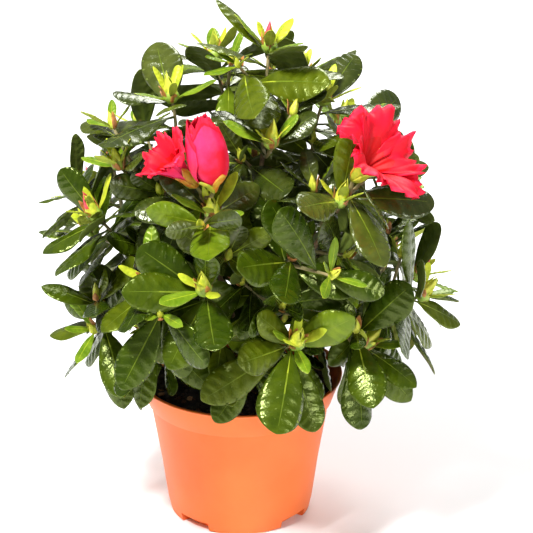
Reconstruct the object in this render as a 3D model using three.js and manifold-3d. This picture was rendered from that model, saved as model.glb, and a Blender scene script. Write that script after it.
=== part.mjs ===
// A young azalea in its nursery pot: a short forked stem in damp peat, boughs that fan out from it,
// and masses of leafy shoots and open blooms at the tips of the boughs.
// Millimetres, +Z up. The origin is the middle of the pot's flat underside, and -Y is the front.
import * as THREE from 'three';
import { mergeVertices } from 'three/addons/utils/BufferGeometryUtils.js';
import Module from 'manifold-3d';

const wasm = await Module();
wasm.setup();

// Driving dimensions of the pot, a 12 cm nursery pot
const potHeight = 86;
const rimRadius = 60;
const collarHeight = 16;
const collarFootRadius = 54;
const wallTopRadius = 52.5;
const footRadius = 41.5;
const wallThickness = 1.5;
const floorThickness = 3;
const footStepHeight = 8;
const footStepWidth = 7;
const notchCount = 4;
const notchAngle = 28;
const notchHeight = 5.5;
const notchDepth = 5.5;
const potTurn = 5;
const potSides = 32;

// Driving dimensions of the peat, the stem and the boughs
const gap = 0.3;
const soilTop = 79;
const soilEdgeDrop = 2.5;
const stemHeight = 46;
const stemFlareRadius = 8;
const stemRadius = 5.4;
const stemTipRadius = 3.6;
const stemLean = [2.5, -1.5];
const stemSides = 10;
const boughRadius = 1.9;
const boughTipRadius = 1.3;
const boughSides = 5;
const boughSteps = 4;
const boughBend = 0.3;
const boughShare = 0.6;
const longestBoughShare = 0.82;
const hubShare = 0.1;

// Driving dimensions of a leafy shoot
const twigRadius = 1.25;
const twigTipRadius = 0.8;
const twigSteps = 4;
const hubRadius = 2;
const leafLength = 50;
const heartLeafLength = 20;
const leafWidthShare = 0.54;
const leafThickness = 1.1;
const leafRoot = 0.35;
const leavesPerShoot = 12;
const firstBigLeaf = 3;
const fullSizeRank = 0.4;
const leafedLength = 32;
const sideShoots = 1;
const sideShootLength = 34;
const sideLeavesFrom = 5;
const sideTipSpacing = 26;
const sideTipRoom = 7;
const crownTipRoom = 16;
const fewestSideLeaves = 2;
const leafSag = 0.22;
const goldenAngle = 137.508;
const budLength = 18;
const budRadius = 4.2;
const budSides = 5;

// Facets finer than this are smoothed away when pieces are joined, and at most up to the second
const finestFacet = 0.2;
const coarsestFacet = 0.4;

// What a leaf tries in order until it has room: a turn round its twig, a change of its opening, both
// in degrees, and a share of its full length
const leafTries = [
  [0, 0, 1], [12, -6, 1], [-12, -6, 1], [0, -14, 1], [0, 12, 1], [24, 6, 0.95], [-24, 6, 0.95],
  [0, 0, 0.85], [36, -12, 0.9], [-36, -12, 0.9], [18, -20, 0.8], [-18, -20, 0.8], [0, 16, 0.75],
  [30, 8, 0.7], [-30, 8, 0.7],
];

// A leaf's outline: shares of its length at which its broad part starts and ends and its crest lies,
// the share of its half width there, and the shares at its foot, where it is still narrow
const broadFrom = 0.4;
const broadTo = 0.76;
const crestAlong = 0.58;
const widthFrom = 0.86;
const widthTo = 0.88;
const narrowAlong = 0.12;
const narrowWidth = 0.3;

// Shares of a leaf's length: its foot that may touch others' feet, and the room beyond its tip
const footShare = 0.1;
const tipRoomShare = 0.02;

// Clear room that a mass keeps to its neighbours' spaces, to limbs, to blooms and to the pot
const spaceRoom = 0.45;
const rootRoom = 3;
const limbRoom = 7.2;
const bloomRoom = 3;
const bloomShown = 0.85;
const twigRoom = 3.5;
const potRoom = 2;

// The crown's outline: a steep dome above its widest height, full and round below it
const crownAxisX = 8;
const crownWidestHeight = 188;
const crownRadius = 124;
const crownRise = 138;
const crownDrop = 120;
const crownDomePower = 1.4;
const crownFootPower = 4;

// Each mass: its name, the height at which its bough leaves the stem, and its shoots. A shoot is
// given by its direction from the front, its reach from the pot's axis, its height, and the turn of
// its first leaf. The leader goes straight on from the stem's top.
const masses = [
  { name: 'crown_front', fork: 124, leader: true, shoots: [[90, 17, 284, 100], [20, 53, 246, 310]] },
  { name: 'crown_back', fork: 117, shoots: [[-165, 54, 262, 10], [145, 62, 250, 150]] },
  { name: 'upper_left', fork: 117, shoots: [[-68, 40, 260, 120], [-58, 77, 230, 300]] },
  { name: 'right_upper', fork: 117, shoots: [[80, 48, 256, 40], [87, 76, 212, 130]] },
  { name: 'left_flowering', fork: 109, shoots: [[-11, 70, 212, 90]] },
  { name: 'right_flowering', fork: 109, shoots: [[40, 86, 218, 0]] },
  { name: 'back_right', fork: 109, shoots: [[118, 100, 184, 70], [128, 74, 222, 260]] },
  { name: 'back_left', fork: 109, shoots: [[-117, 94, 182, 95], [-130, 74, 220, 235]] },
  { name: 'front_middle', fork: 104, shoots: [[22, 80, 190, 180]] },
  { name: 'front_left', fork: 99, shoots: [[-12, 86, 174, 0], [-38, 78, 169, 250]] },
  { name: 'left', fork: 99, shoots: [[-66, 87, 198, 60], [-93, 84, 172, 200]] },
  { name: 'right', fork: 99, shoots: [[75, 107, 146, 80], [55, 87, 126, 220]] },
  { name: 'back_middle', fork: 99, shoots: [[177, 90, 209, 15], [-172, 98, 168, 155]] },
  { name: 'low_left', fork: 90, shoots: [[-88, 78, 124, 140], [-52, 70, 134, 20]] },
  { name: 'front_low', fork: 90, shoots: [[22, 84, 139, 45]] },
  { name: 'low_right_back', fork: 90, shoots: [[104, 106, 135, 30], [145, 104, 138, 190]] },
  { name: 'low_back', fork: 90, shoots: [[-150, 100, 143, 330], [175, 98, 132, 110]] },
];

// The open blooms, each on a twig of its own in a flowering mass. A bloom has a foot, a mouth, the
// radius of its mouth, how far its lobes spread and its turn about the line from foot to mouth.
const blooms = [
  { mass: 'left_flowering', foot: [-25, -72, 233], mouth: [-46, -79, 256], radius: 17, flare: 1, turn: 20 },
  { mass: 'left_flowering', foot: [-13, -79, 234], mouth: [-20, -82, 272], radius: 11, flare: 0, turn: 0 },
  { mass: 'right_flowering', foot: [65, -68, 235], mouth: [85, -78, 258], radius: 31, flare: 1, turn: 40 },
];

const lobes = 5;
const petalThickness = 1.3;
const bloomTubeRadius = 3;
const bloomRings = 3;
const bloomSegments = 20;
const ruffleHeight = 1.6;
const calyxDepth = 6;

const radians = (degrees) => (degrees * Math.PI) / 180;
const vector = (values) => new THREE.Vector3(values[0], values[1], values[2]);

// A repeatable stream of numbers from 0 to 1 for one shoot.
function draws(seed) {
  let state = seed;
  return () => {
    state = (state * 1664525 + 1013904223) % 4294967296;
    return state / 4294967296;
  };
}

// Turns a closed three.js geometry into a solid that can be joined and cut.
function solidOf(geometry) {
  const shape = geometry.clone();
  shape.deleteAttribute('normal');
  shape.deleteAttribute('uv');
  const merged = mergeVertices(shape, 1e-4);
  return new wasm.Manifold(new wasm.Mesh({
    numProp: 3,
    vertProperties: new Float32Array(merged.attributes.position.array),
    triVerts: new Uint32Array(merged.index.array),
  }));
}

function geometryOf(solid) {
  const mesh = solid.getMesh();
  const geometry = new THREE.BufferGeometry();
  geometry.setAttribute('position', new THREE.BufferAttribute(mesh.vertProperties, 3));
  geometry.setIndex(new THREE.BufferAttribute(mesh.triVerts, 1));
  geometry.computeVertexNormals();
  return geometry;
}

// Whether each edge of a solid, with its ends taken to a ten-thousandth of a millimetre, parts two
// faces and no more.
function edgesApart(solid) {
  const { vertProperties, triVerts } = solid.getMesh();
  const rounded = (corner, axis) => Math.round(vertProperties[3 * corner + axis] * 1e4);
  const place = (corner) => [0, 1, 2].map((axis) => rounded(corner, axis)).join();
  const uses = new Map();
  for (let i = 0; i < triVerts.length; i += 3) {
    const ends = [0, 1, 2].map((k) => place(triVerts[i + k]));
    if (new Set(ends).size < 3) {
      continue;
    }
    for (const [from, to] of [[0, 1], [1, 2], [2, 0]]) {
      const edge = [ends[from], ends[to]].sort().join(' ');
      uses.set(edge, (uses.get(edge) ?? 0) + 1);
    }
  }
  return [...uses.values()].every((count) => count === 2);
}

// Joins pieces into one body. Loose scraps are dropped and pockets that the joining seals are filled.
// Facets are smoothed a little more where two edges would fall on each other.
function fused(pieces) {
  const whole = wasm.Manifold.union(pieces).asOriginal();
  let body = whole;
  for (let facet = finestFacet; facet < coarsestFacet; facet += 0.02) {
    const bodies = whole.simplify(facet).decompose();
    body = bodies.reduce((largest, other) => (other.volume() > largest.volume() ? other : largest));
    if (edgesApart(body)) {
      break;
    }
  }
  return body;
}

// A tapering limb of some sides along a curve, flat at both ends: a cylinder laid along the curve.
function limbGeometry(curve, startRadius, endRadius, sides, steps) {
  const geometry = new THREE.CylinderGeometry(1, 1, 1, sides, steps);
  const position = geometry.attributes.position;
  const run = curve.getPoint(1).sub(curve.getPoint(0));
  const isSteep = Math.abs(run.z) > 0.8 * run.length();
  const across = isSteep ? new THREE.Vector3(1, 0, 0) : new THREE.Vector3(0, 0, 1);
  for (let i = 0; i < position.count; i += 1) {
    const along = position.getY(i) + 0.5;
    const radius = THREE.MathUtils.lerp(startRadius, endRadius, along);
    const forward = curve.getTangent(along);
    const side = forward.clone().cross(across).normalize();
    const upper = side.clone().cross(forward);
    const point = curve.getPoint(along)
      .addScaledVector(side, position.getX(i) * radius)
      .addScaledVector(upper, position.getZ(i) * radius);
    position.setXYZ(i, point.x, point.y, point.z);
  }
  return geometry;
}

function stemCurve() {
  const top = new THREE.Vector3(stemLean[0], stemLean[1], soilTop + gap + stemHeight);
  return new THREE.LineCurve3(new THREE.Vector3(0, 0, soilTop + gap), top);
}

// The stem: a root flare that narrows fast, then a slow taper up to the fork. The extra radius grows
// it for cutting the boughs clear.
function stemSolid(extra) {
  const flareSteps = 8;
  const geometry = new THREE.CylinderGeometry(1, 1, 1, stemSides, flareSteps);
  const position = geometry.attributes.position;
  for (let i = 0; i < position.count; i += 1) {
    const along = position.getY(i) + 0.5;
    const flare = (stemFlareRadius - stemRadius) * Math.pow(1 - along, 5);
    const radius = THREE.MathUtils.lerp(stemRadius, stemTipRadius, along) + flare + extra;
    const height = soilTop + gap + along * (stemHeight + extra);
    position.setXYZ(
      i,
      stemLean[0] * along + position.getX(i) * radius,
      stemLean[1] * along - position.getZ(i) * radius,
      height,
    );
  }
  return solidOf(geometry);
}

// A point at a height on the stem's middle line.
function onStem(height) {
  return stemCurve().getPoint((height - soilTop - gap) / stemHeight);
}

function shootTip([direction, reach, height]) {
  const angle = radians(direction);
  return new THREE.Vector3(reach * Math.sin(angle), -reach * Math.cos(angle), height);
}

// A shoot leans outwards, more so low on the crown.
function shootLean([direction, reach, height]) {
  const angle = radians(direction);
  const outwards = new THREE.Vector3(Math.sin(angle), -Math.cos(angle), 0);
  const tilt = radians(THREE.MathUtils.clamp(70 - (height - 120) * 0.33, 12, 68)) * Math.min(1, reach / 60);
  return outwards.multiplyScalar(Math.sin(tilt)).setZ(Math.cos(tilt));
}

function meanOf(points) {
  return points.reduce((sum, point) => sum.add(point), new THREE.Vector3()).divideScalar(points.length);
}

// The bough to a mass leaves the stem at a slant, then bends up or out to where it enters the mass.
function boughCurve(mass, end) {
  const start = onStem(mass.fork);
  const outwards = end.clone().sub(start).setZ(0).normalize();
  const bend = boughBend * start.distanceTo(end);
  const handle = start.clone().addScaledVector(outwards, mass.leader ? 0 : bend);
  handle.z += bend;
  return new THREE.QuadraticBezierCurve3(start, handle, end);
}

// A shoot's or a bloom's twig leaves the hub of its mass and ends along the way that it points.
function twigCurve(hub, tip, lean) {
  const handle = tip.clone().addScaledVector(lean, -0.5 * hub.distanceTo(tip));
  return new THREE.QuadraticBezierCurve3(hub, handle, tip);
}

for (const bloom of blooms) {
  bloom.foot = vector(bloom.foot);
  bloom.mouth = vector(bloom.mouth);
  bloom.lean = bloom.mouth.clone().sub(bloom.foot).normalize();
  bloom.middle = bloom.foot.clone().lerp(bloom.mouth, 0.62);
}

for (const mass of masses) {
  mass.blooms = blooms.filter((bloom) => bloom.mass === mass.name);
  const ends = [...mass.shoots.map(shootTip), ...mass.blooms.map((bloom) => bloom.middle)];
  mass.centre = meanOf(ends);
}

// The room left between a point and the flat walls that part its mass's space from all others.
function roomInSpace(mass, point) {
  let room = Infinity;
  for (const other of masses) {
    if (other === mass) {
      continue;
    }
    const away = mass.centre.clone().sub(other.centre);
    const wall = mass.centre.clone().add(other.centre).multiplyScalar(0.5);
    room = Math.min(room, point.clone().sub(wall).dot(away) / away.length());
  }
  return room;
}

// A bough ends at the given share of the way to its mass's centre, or further out where that place
// isn't well inside the mass's own space.
for (const mass of masses) {
  const start = onStem(mass.fork);
  const towardsMass = (share) => start.clone().lerp(mass.centre, share);
  let share = boughShare;
  while (share < longestBoughShare && roomInSpace(mass, towardsMass(share)) < rootRoom) {
    share += 0.02;
  }
  mass.bough = boughCurve(mass, towardsMass(share));
  mass.root = mass.bough.getPoint(1).addScaledVector(mass.bough.getTangent(1), gap + 0.05);
  mass.hub = towardsMass(share + hubShare);
  mass.bloomTwigs = mass.blooms.map((bloom) => twigCurve(mass.hub, bloom.foot, bloom.lean));
}

// Points along the limbs that the leaves stay clear of.
const limbSamples = 16;
for (const mass of masses) {
  mass.limbPoints = mass.bough.getPoints(limbSamples);
}

// The direction of the plant's face, from above its front, and the room kept open before a bloom
const faceDirection = new THREE.Vector3(0, -0.92, 0.39);

function hidesBloom(bloom, point) {
  const offset = point.clone().sub(bloom.middle);
  const ahead = offset.dot(faceDirection);
  const beside = offset.addScaledVector(faceDirection, -ahead).length();
  return ahead > 0 && beside < bloomShown * bloom.radius;
}

// A bloom fills a cone that widens from its foot past its mouth.
function isInBloom(bloom, point) {
  const offset = point.clone().sub(bloom.foot);
  const along = offset.dot(bloom.lean);
  const aside = offset.addScaledVector(bloom.lean, -along).length();
  const depth = bloom.foot.distanceTo(bloom.mouth);
  const widening = bloom.flare ? Math.min(1, along / depth) : 1;
  return along > 0 && along < 1.25 * depth && aside < widening * bloom.radius + bloomRoom;
}

function isInCrown(point) {
  const reach = Math.hypot(point.x - crownAxisX, point.y) / crownRadius;
  const rise = point.z - crownWidestHeight;
  const [fullRise, power] = rise > 0 ? [crownRise, crownDomePower] : [crownDrop, crownFootPower];
  return Math.pow(reach, power) + Math.pow(Math.abs(rise) / fullRise, power) < 1;
}

// Whether a point of a leaf is clear of the pot, the peat, the limbs and the blooms.
function isClear(point) {
  const reach = Math.hypot(point.x, point.y);
  if (point.z < potHeight + potRoom && reach < rimRadius + potRoom) {
    return false;
  }
  if (blooms.some((bloom) => isInBloom(bloom, point) || hidesBloom(bloom, point))) {
    return false;
  }
  return masses.every((other) => other.limbPoints.every((spot) => point.distanceTo(spot) > limbRoom));
}

// A leaf: a root sunk in the twig, a broad blade that is widest past its middle, and a short tip.
// It arches down along its length and its halves fold up a little from the midrib.
function leafPlace(leaf, along, across, lift) {
  const drop = leaf.bend * along * along - leaf.fold * Math.abs(across);
  return leaf.root.clone()
    .addScaledVector(leaf.forward, leaf.length * along)
    .addScaledVector(leaf.side, leaf.length * across)
    .addScaledVector(leaf.upper, lift - leaf.length * drop);
}

function leafCorners(leaf) {
  const half = 0.5 * leafWidthShare;
  return [
    leafPlace(leaf, 0, 0, leafRoot),
    leafPlace(leaf, 0, 0, -leafRoot),
    leafPlace(leaf, broadFrom, -widthFrom * half, 0),
    leafPlace(leaf, broadTo, -widthTo * half, 0),
    leafPlace(leaf, 1, 0, 0),
    leafPlace(leaf, broadTo, widthTo * half, 0),
    leafPlace(leaf, broadFrom, widthFrom * half, 0),
    leafPlace(leaf, crestAlong, 0, 0.5 * leafThickness),
    leafPlace(leaf, crestAlong, 0, -0.5 * leafThickness),
  ];
}

// Places spread over the blade, which have to be as clear as its corners.
function leafProbes(leaf) {
  const probes = [];
  for (let along = 0.2; along < 0.9; along += 0.2) {
    for (const side of [-1, 0, 1]) {
      probes.push(leafPlace(leaf, along, side * 0.25 * leafWidthShare, 0));
    }
  }
  return probes;
}

// The lines of a leaf that must not pass through another leaf: its edges and its midrib.
function leafLines(leaf) {
  const edge = 0.5 * widthFrom * leafWidthShare;
  return [-edge, 0, edge].map((across) => [
    leafPlace(leaf, narrowAlong, narrowWidth * across, 0),
    leafPlace(leaf, broadFrom, across, 0),
    leafPlace(leaf, broadTo, across, 0),
    leafPlace(leaf, 1, 0, 0),
  ]);
}

// A point in a leaf's own frame, in shares of its length, where its arched blade is the level surface.
function inLeafFrame(leaf, point) {
  const offset = point.clone().sub(leaf.root).divideScalar(leaf.length);
  const along = offset.dot(leaf.forward);
  const across = offset.dot(leaf.side);
  const lift = offset.dot(leaf.upper) + leaf.bend * along * along - leaf.fold * Math.abs(across);
  return { along, across, lift };
}

// Whether a line of one leaf passes through the blade of another.
function passesThrough(lines, leaf) {
  return lines.some((line) => {
    const spots = line.map((point) => inLeafFrame(leaf, point));
    return spots.slice(1).some((to, i) => {
      const from = spots[i];
      if (from.lift * to.lift > 0) {
        return false;
      }
      const share = from.lift / (from.lift - to.lift);
      const along = THREE.MathUtils.lerp(from.along, to.along, share);
      const across = THREE.MathUtils.lerp(from.across, to.across, share);
      const fullness = Math.min(1, along / broadFrom, (1 + tipRoomShare - along) / (1 - broadTo));
      return along > footShare && Math.abs(across) < 0.5 * leafWidthShare * fullness;
    });
  });
}

const leafFaces = [
  0, 6, 7, 6, 5, 7, 5, 4, 7, 4, 3, 7, 3, 2, 7, 2, 0, 7,
  6, 1, 8, 5, 6, 8, 4, 5, 8, 3, 4, 8, 2, 3, 8, 1, 2, 8,
  0, 1, 6, 1, 0, 2,
];

function leafSolid(leaf) {
  const geometry = new THREE.BufferGeometry().setFromPoints(leafCorners(leaf));
  geometry.setIndex(leafFaces);
  return solidOf(geometry);
}

// Two directions square to a lean and to each other.
function aroundLean(lean) {
  const across = Math.abs(lean.z) > 0.9 ? new THREE.Vector3(0, 1, 0) : new THREE.Vector3(0, 0, 1);
  const first = across.cross(lean).normalize();
  return [first, lean.clone().cross(first)];
}

// The pose of one leaf on a twig: rank runs from 0 at the heart to 1 at the oldest leaf.
function leafPose(twig, rank, azimuth, opening, length) {
  const { lean, curve } = twig;
  const [first, second] = aroundLean(lean);
  const angle = radians(azimuth);
  const outwards = first.multiplyScalar(Math.cos(angle)).addScaledVector(second, Math.sin(angle));
  const open = radians(opening);
  const forward = lean.clone().multiplyScalar(Math.cos(open)).addScaledVector(outwards, Math.sin(open));
  forward.z -= leafSag * rank;
  forward.normalize();
  const upper = lean.clone().multiplyScalar(Math.sin(open)).addScaledVector(outwards, -Math.cos(open));
  upper.addScaledVector(forward, -upper.dot(forward)).normalize();
  const back = Math.min(0.9, (1.5 + leafedLength * rank * rank) / curve.getLength());
  return {
    root: curve.getPoint(1 - back),
    forward,
    upper,
    side: forward.clone().cross(upper),
    length,
    bend: 0.03 + 0.16 * rank,
    fold: 0.12,
  };
}

// The twigs of a mass: one to each shoot, and side twigs that leave it part of the way along. A side
// twig turns round its parent until its tip has room, and is left out if it finds none or if hardly
// a leaf grows on it.
function massTwigs(mass, firstShoot) {
  const twigs = mass.shoots.map((shoot, i) => {
    const tip = shootTip(shoot);
    const lean = shootLean(shoot);
    const seed = 1000 + 37 * (firstShoot + i);
    const curve = twigCurve(mass.hub, tip, lean);
    return { tip, lean, curve, spin: shoot[3], seed, firstLeaf: firstBigLeaf };
  });
  for (const parent of [...twigs]) {
    for (let k = 0; k < sideShoots; k += 1) {
      const side = sideTwig(mass, parent, k, twigs);
      if (side) {
        twigs.push(side);
      }
    }
  }
  return twigs;
}

function sideTwig(mass, parent, k, twigs) {
  const draw = draws(parent.seed + 11 * (k + 1));
  const [first, second] = aroundLean(parent.lean);
  const base = parent.curve.getPoint(0.5 + 0.12 * k);
  const start = 360 * draw();
  for (let step = 0; step < 8; step += 1) {
    const angle = radians(start + 45 * step);
    const lean = first.clone().multiplyScalar(Math.cos(angle)).addScaledVector(second, Math.sin(angle));
    lean.addScaledVector(parent.lean, 0.75);
    lean.z += 0.25;
    lean.normalize();
    const tip = base.clone().addScaledVector(lean, sideShootLength);
    const apart = twigs.every((twig) => twig.tip.distanceTo(tip) > sideTipSpacing);
    const inside = isInCrown(tip.clone().addScaledVector(lean, crownTipRoom));
    if (apart && inside && roomInSpace(mass, tip) > sideTipRoom && isClear(tip)) {
      const curve = new THREE.QuadraticBezierCurve3(base, base.clone().lerp(tip, 0.5), tip);
      const seed = parent.seed + 11 * (k + 1) + 5;
      return { tip, lean, curve, spin: 360 * draw(), seed, firstLeaf: sideLeavesFrom };
    }
  }
  return null;
}

function leafHasRoom(mass, leaf, grown) {
  const places = [...leafCorners(leaf), ...leafProbes(leaf)];
  const fits = (point) => isInCrown(point) && roomInSpace(mass, point) > spaceRoom && isClear(point);
  if (!places.every(fits)) {
    return false;
  }
  const blade = places.slice(2).filter((point) => point.distanceTo(leaf.root) > 0.35 * leaf.length);
  if (blade.some((point) => mass.twigPoints.some((spot) => spot.distanceTo(point) < twigRoom))) {
    return false;
  }
  const lines = leafLines(leaf);
  const near = grown.filter((other) => other.root.distanceTo(leaf.root) < other.length + leaf.length);
  return !near.some((other) => passesThrough(lines, other) || passesThrough(leafLines(other), leaf));
}

// Leaves of one twig in golden-angle order, beside those grown before. A leaf that has no room tries
// small turns and shorter lengths, and is skipped if none fits.
function twigLeaves(mass, twig, grown) {
  const draw = draws(twig.seed);
  const tilt = Math.acos(twig.lean.z);
  const widest = 74 + 24 * Math.sin(tilt);
  const leaves = [];
  for (let k = twig.firstLeaf; k < leavesPerShoot; k += 1) {
    const rank = k / (leavesPerShoot - 1);
    const azimuth = twig.spin + k * goldenAngle + 16 * (draw() - 0.5);
    const opening = 14 + widest * Math.pow(rank, 0.8) + 16 * (draw() - 0.5);
    const size = THREE.MathUtils.smoothstep(rank, 0, fullSizeRank);
    const length = THREE.MathUtils.lerp(heartLeafLength, leafLength, size) * (0.88 + 0.2 * draw());
    for (const [turn, tilted, share] of leafTries) {
      const leaf = leafPose(twig, rank, azimuth + turn, opening + tilted, length * share);
      if (leafHasRoom(mass, leaf, [...grown, ...leaves])) {
        leaves.push(leaf);
        break;
      }
    }
  }
  return leaves;
}

// A bud at a shoot's tip: a spindle of narrow scales, fattest below its middle.
function budSolid(tip, lean) {
  const geometry = new THREE.SphereGeometry(1, budSides, 3);
  const position = geometry.attributes.position;
  const [first, second] = aroundLean(lean);
  for (let i = 0; i < position.count; i += 1) {
    const point = tip.clone()
      .addScaledVector(first, position.getX(i) * budRadius)
      .addScaledVector(second, position.getZ(i) * -budRadius)
      .addScaledVector(lean, (0.35 + position.getY(i) * 0.5) * budLength);
    position.setXYZ(i, point.x, point.y, point.z);
  }
  return solidOf(geometry);
}

// The place of a point of a bloom: around runs round the mouth and along from the foot to the lobes'
// ends. A spreading bloom opens like a trumpet, a closed one stays a bell.
function bloomPoint(bloom, around, along, inset) {
  const axis = bloom.lean;
  const depth = bloom.foot.distanceTo(bloom.mouth);
  const first = new THREE.Vector3(0, 0, 1).cross(axis).normalize();
  const second = axis.clone().cross(first);
  const angle = radians(around + bloom.turn);
  const lobe = Math.pow(Math.abs(Math.cos(radians(around * lobes * 0.5))), 0.6);
  const reached = along * (0.74 + 0.26 * lobe);
  const widening = bloom.radius - bloomTubeRadius;
  const trumpet = bloomTubeRadius + widening * Math.pow(reached, 1.5);
  const bell = bloomTubeRadius + widening * Math.sin(radians(170 * Math.pow(reached, 0.63)));
  const radius = THREE.MathUtils.lerp(bell, trumpet, bloom.flare) - inset;
  const ruffle = ruffleHeight * Math.sin(radians(around * 3 * lobes)) * Math.pow(along, 3);
  const height = depth * (reached * (1.35 - 0.35 * bloom.flare * reached * reached)) / 1.2;
  return bloom.foot.clone()
    .addScaledVector(first, radius * Math.cos(angle))
    .addScaledVector(second, radius * Math.sin(angle))
    .addScaledVector(axis, height + ruffle + 0.8 * inset);
}

// A bloom's solid: an outer and an inner skin a petal's thickness apart, joined at the lobes' edge.
function bloomSolid(bloom) {
  const points = [];
  const faces = [];
  const firstInnerAlong = 0.14;
  const skins = [
    { inset: 0, start: 0 },
    { inset: petalThickness, start: firstInnerAlong },
  ];
  for (const skin of skins) {
    for (let ring = 0; ring <= bloomRings; ring += 1) {
      const along = THREE.MathUtils.lerp(skin.start, 1, ring / bloomRings);
      for (let i = 0; i < bloomSegments; i += 1) {
        points.push(bloomPoint(bloom, (360 * i) / bloomSegments, along, skin.inset));
      }
    }
  }
  const skinSize = (bloomRings + 1) * bloomSegments;
  const quad = (a, b, c, d) => faces.push(a, b, c, a, c, d);
  for (let i = 0; i < bloomSegments; i += 1) {
    const next = (i + 1) % bloomSegments;
    for (let ring = 0; ring < bloomRings; ring += 1) {
      const low = ring * bloomSegments;
      const high = low + bloomSegments;
      quad(low + i, low + next, high + next, high + i);
      quad(skinSize + low + next, skinSize + low + i, skinSize + high + i, skinSize + high + next);
    }
    const edge = bloomRings * bloomSegments;
    quad(edge + i, edge + next, skinSize + edge + next, skinSize + edge + i);
  }
  const outerFoot = points.push(bloomPoint(bloom, 0, 0, bloomTubeRadius)) - 1;
  const innerFoot = points.push(
    meanOf(points.slice(skinSize, skinSize + bloomSegments)),
  ) - 1;
  for (let i = 0; i < bloomSegments; i += 1) {
    const next = (i + 1) % bloomSegments;
    faces.push(outerFoot, next, i);
    faces.push(innerFoot, skinSize + i, skinSize + next);
  }
  const geometry = new THREE.BufferGeometry().setFromPoints(points);
  geometry.setIndex(faces);
  return solidOf(geometry);
}

function massSolid(mass, firstShoot) {
  const stem = new THREE.LineCurve3(mass.root, mass.hub);
  const pieces = [solidOf(limbGeometry(stem, boughTipRadius, twigRadius, 3, 1))];
  const knot = new THREE.IcosahedronGeometry(hubRadius, 0).translate(mass.hub.x, mass.hub.y, mass.hub.z);
  pieces.push(solidOf(knot));
  const twigs = massTwigs(mass, firstShoot);
  mass.twigPoints = twigs.flatMap((twig) => twig.curve.getPoints(limbSamples));
  const grown = [];
  for (const twig of twigs) {
    const isSide = twig.firstLeaf === sideLeavesFrom;
    const leaves = twigLeaves(mass, twig, grown);
    if (isSide && leaves.length < fewestSideLeaves) {
      continue;
    }
    grown.push(...leaves);
    pieces.push(solidOf(limbGeometry(twig.curve, twigRadius, twigTipRadius, 3, isSide ? 1 : twigSteps)));
    pieces.push(...leaves.map(leafSolid));
    if (!isSide) {
      pieces.push(budSolid(twig.tip, twig.lean));
    }
  }
  mass.blooms.forEach((bloom, i) => {
    pieces.push(solidOf(limbGeometry(mass.bloomTwigs[i], twigRadius, twigRadius, 3, twigSteps)));
    pieces.push(budSolid(bloom.foot.clone().addScaledVector(bloom.lean, -calyxDepth), bloom.lean));
    pieces.push(bloomSolid(bloom));
  });
  return fused(pieces);
}

// The pot: one thin wall turned round its axis, with a flared collar and a stepped foot, and four
// drain notches cut into the foot.
function potSolid() {
  const collarFoot = potHeight - collarHeight;
  const step = footRadius - footStepWidth;
  const profile = [
    [0, 0],
    [footRadius - 1, 0],
    [footRadius, 1.2],
    [wallTopRadius, collarFoot - 0.6],
    [collarFootRadius, collarFoot],
    [rimRadius - 1, potHeight - 1.6],
    [rimRadius, potHeight - 1.2],
    [rimRadius, potHeight],
    [rimRadius - wallThickness - 0.8, potHeight],
    [collarFootRadius - wallThickness, collarFoot + 1],
    [wallTopRadius - wallThickness, collarFoot - 0.6],
    [footRadius - wallThickness + 1, footStepHeight],
    [step, footStepHeight],
    [step - 1, floorThickness],
    [0, floorThickness],
  ].map(([radius, height]) => new THREE.Vector2(radius, height));
  let wall = solidOf(new THREE.LatheGeometry(profile, potSides).rotateX(Math.PI / 2));
  const half = radians(notchAngle / 2);
  const far = footRadius + 12;
  for (let i = 0; i < notchCount; i += 1) {
    const middle = radians(potTurn - 90 + (i + 0.5) * (360 / notchCount));
    const sector = new THREE.Shape();
    sector.absarc(0, 0, far, middle - half, middle + half, false);
    sector.absarc(0, 0, footRadius - notchDepth, middle + half, middle - half, true);
    sector.closePath();
    const depth = notchHeight + 1;
    const cutter = new THREE.ExtrudeGeometry(sector, { depth, bevelEnabled: false, curveSegments: 4 });
    wall = wall.subtract(solidOf(cutter.translate(0, 0, -1)));
  }
  return wall;
}

// The peat fills the pot to a few millimetres below its rim, a little higher round the stem.
function soilSolid() {
  const collarFoot = potHeight - collarHeight;
  const step = footRadius - footStepWidth;
  const clear = wallThickness + gap;
  const collarSlope = (rimRadius - collarFootRadius) / collarHeight;
  const edge = soilTop - soilEdgeDrop;
  const profile = [
    [0, floorThickness + gap],
    [step - 1 - gap, floorThickness + gap],
    [step - gap, footStepHeight + gap],
    [footRadius - clear + 1, footStepHeight + gap],
    [wallTopRadius - clear - 0.1, collarFoot - 0.6],
    [collarFootRadius - clear - 0.4, collarFoot + 1],
    [collarFootRadius - clear - 0.8 + (edge - collarFoot) * collarSlope, edge],
    [32, soilTop - 0.8],
    [0, soilTop],
  ].map(([radius, height]) => new THREE.Vector2(radius, height));
  return solidOf(new THREE.LatheGeometry(profile, potSides).rotateX(Math.PI / 2));
}

const finishes = {
  pot: new THREE.MeshStandardMaterial({ color: 0xf08048, roughness: 0.55, metalness: 0 }),
  soil: new THREE.MeshStandardMaterial({ color: 0x2b1f1a, roughness: 0.95, metalness: 0 }),
  bark: new THREE.MeshStandardMaterial({ color: 0x7a5c3e, roughness: 0.85, metalness: 0 }),
  foliage: new THREE.MeshStandardMaterial({ color: 0x466627, roughness: 0.5, metalness: 0 }),
};

const plant = new THREE.Group();
plant.name = 'potted_azalea';

function addNode(name, solid, finish) {
  const mesh = new THREE.Mesh(geometryOf(solid), finish);
  mesh.name = name;
  plant.add(mesh);
}

addNode('pot', potSolid(), finishes.pot);
addNode('soil', soilSolid(), finishes.soil);
addNode('stem', stemSolid(0), finishes.bark);

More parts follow.
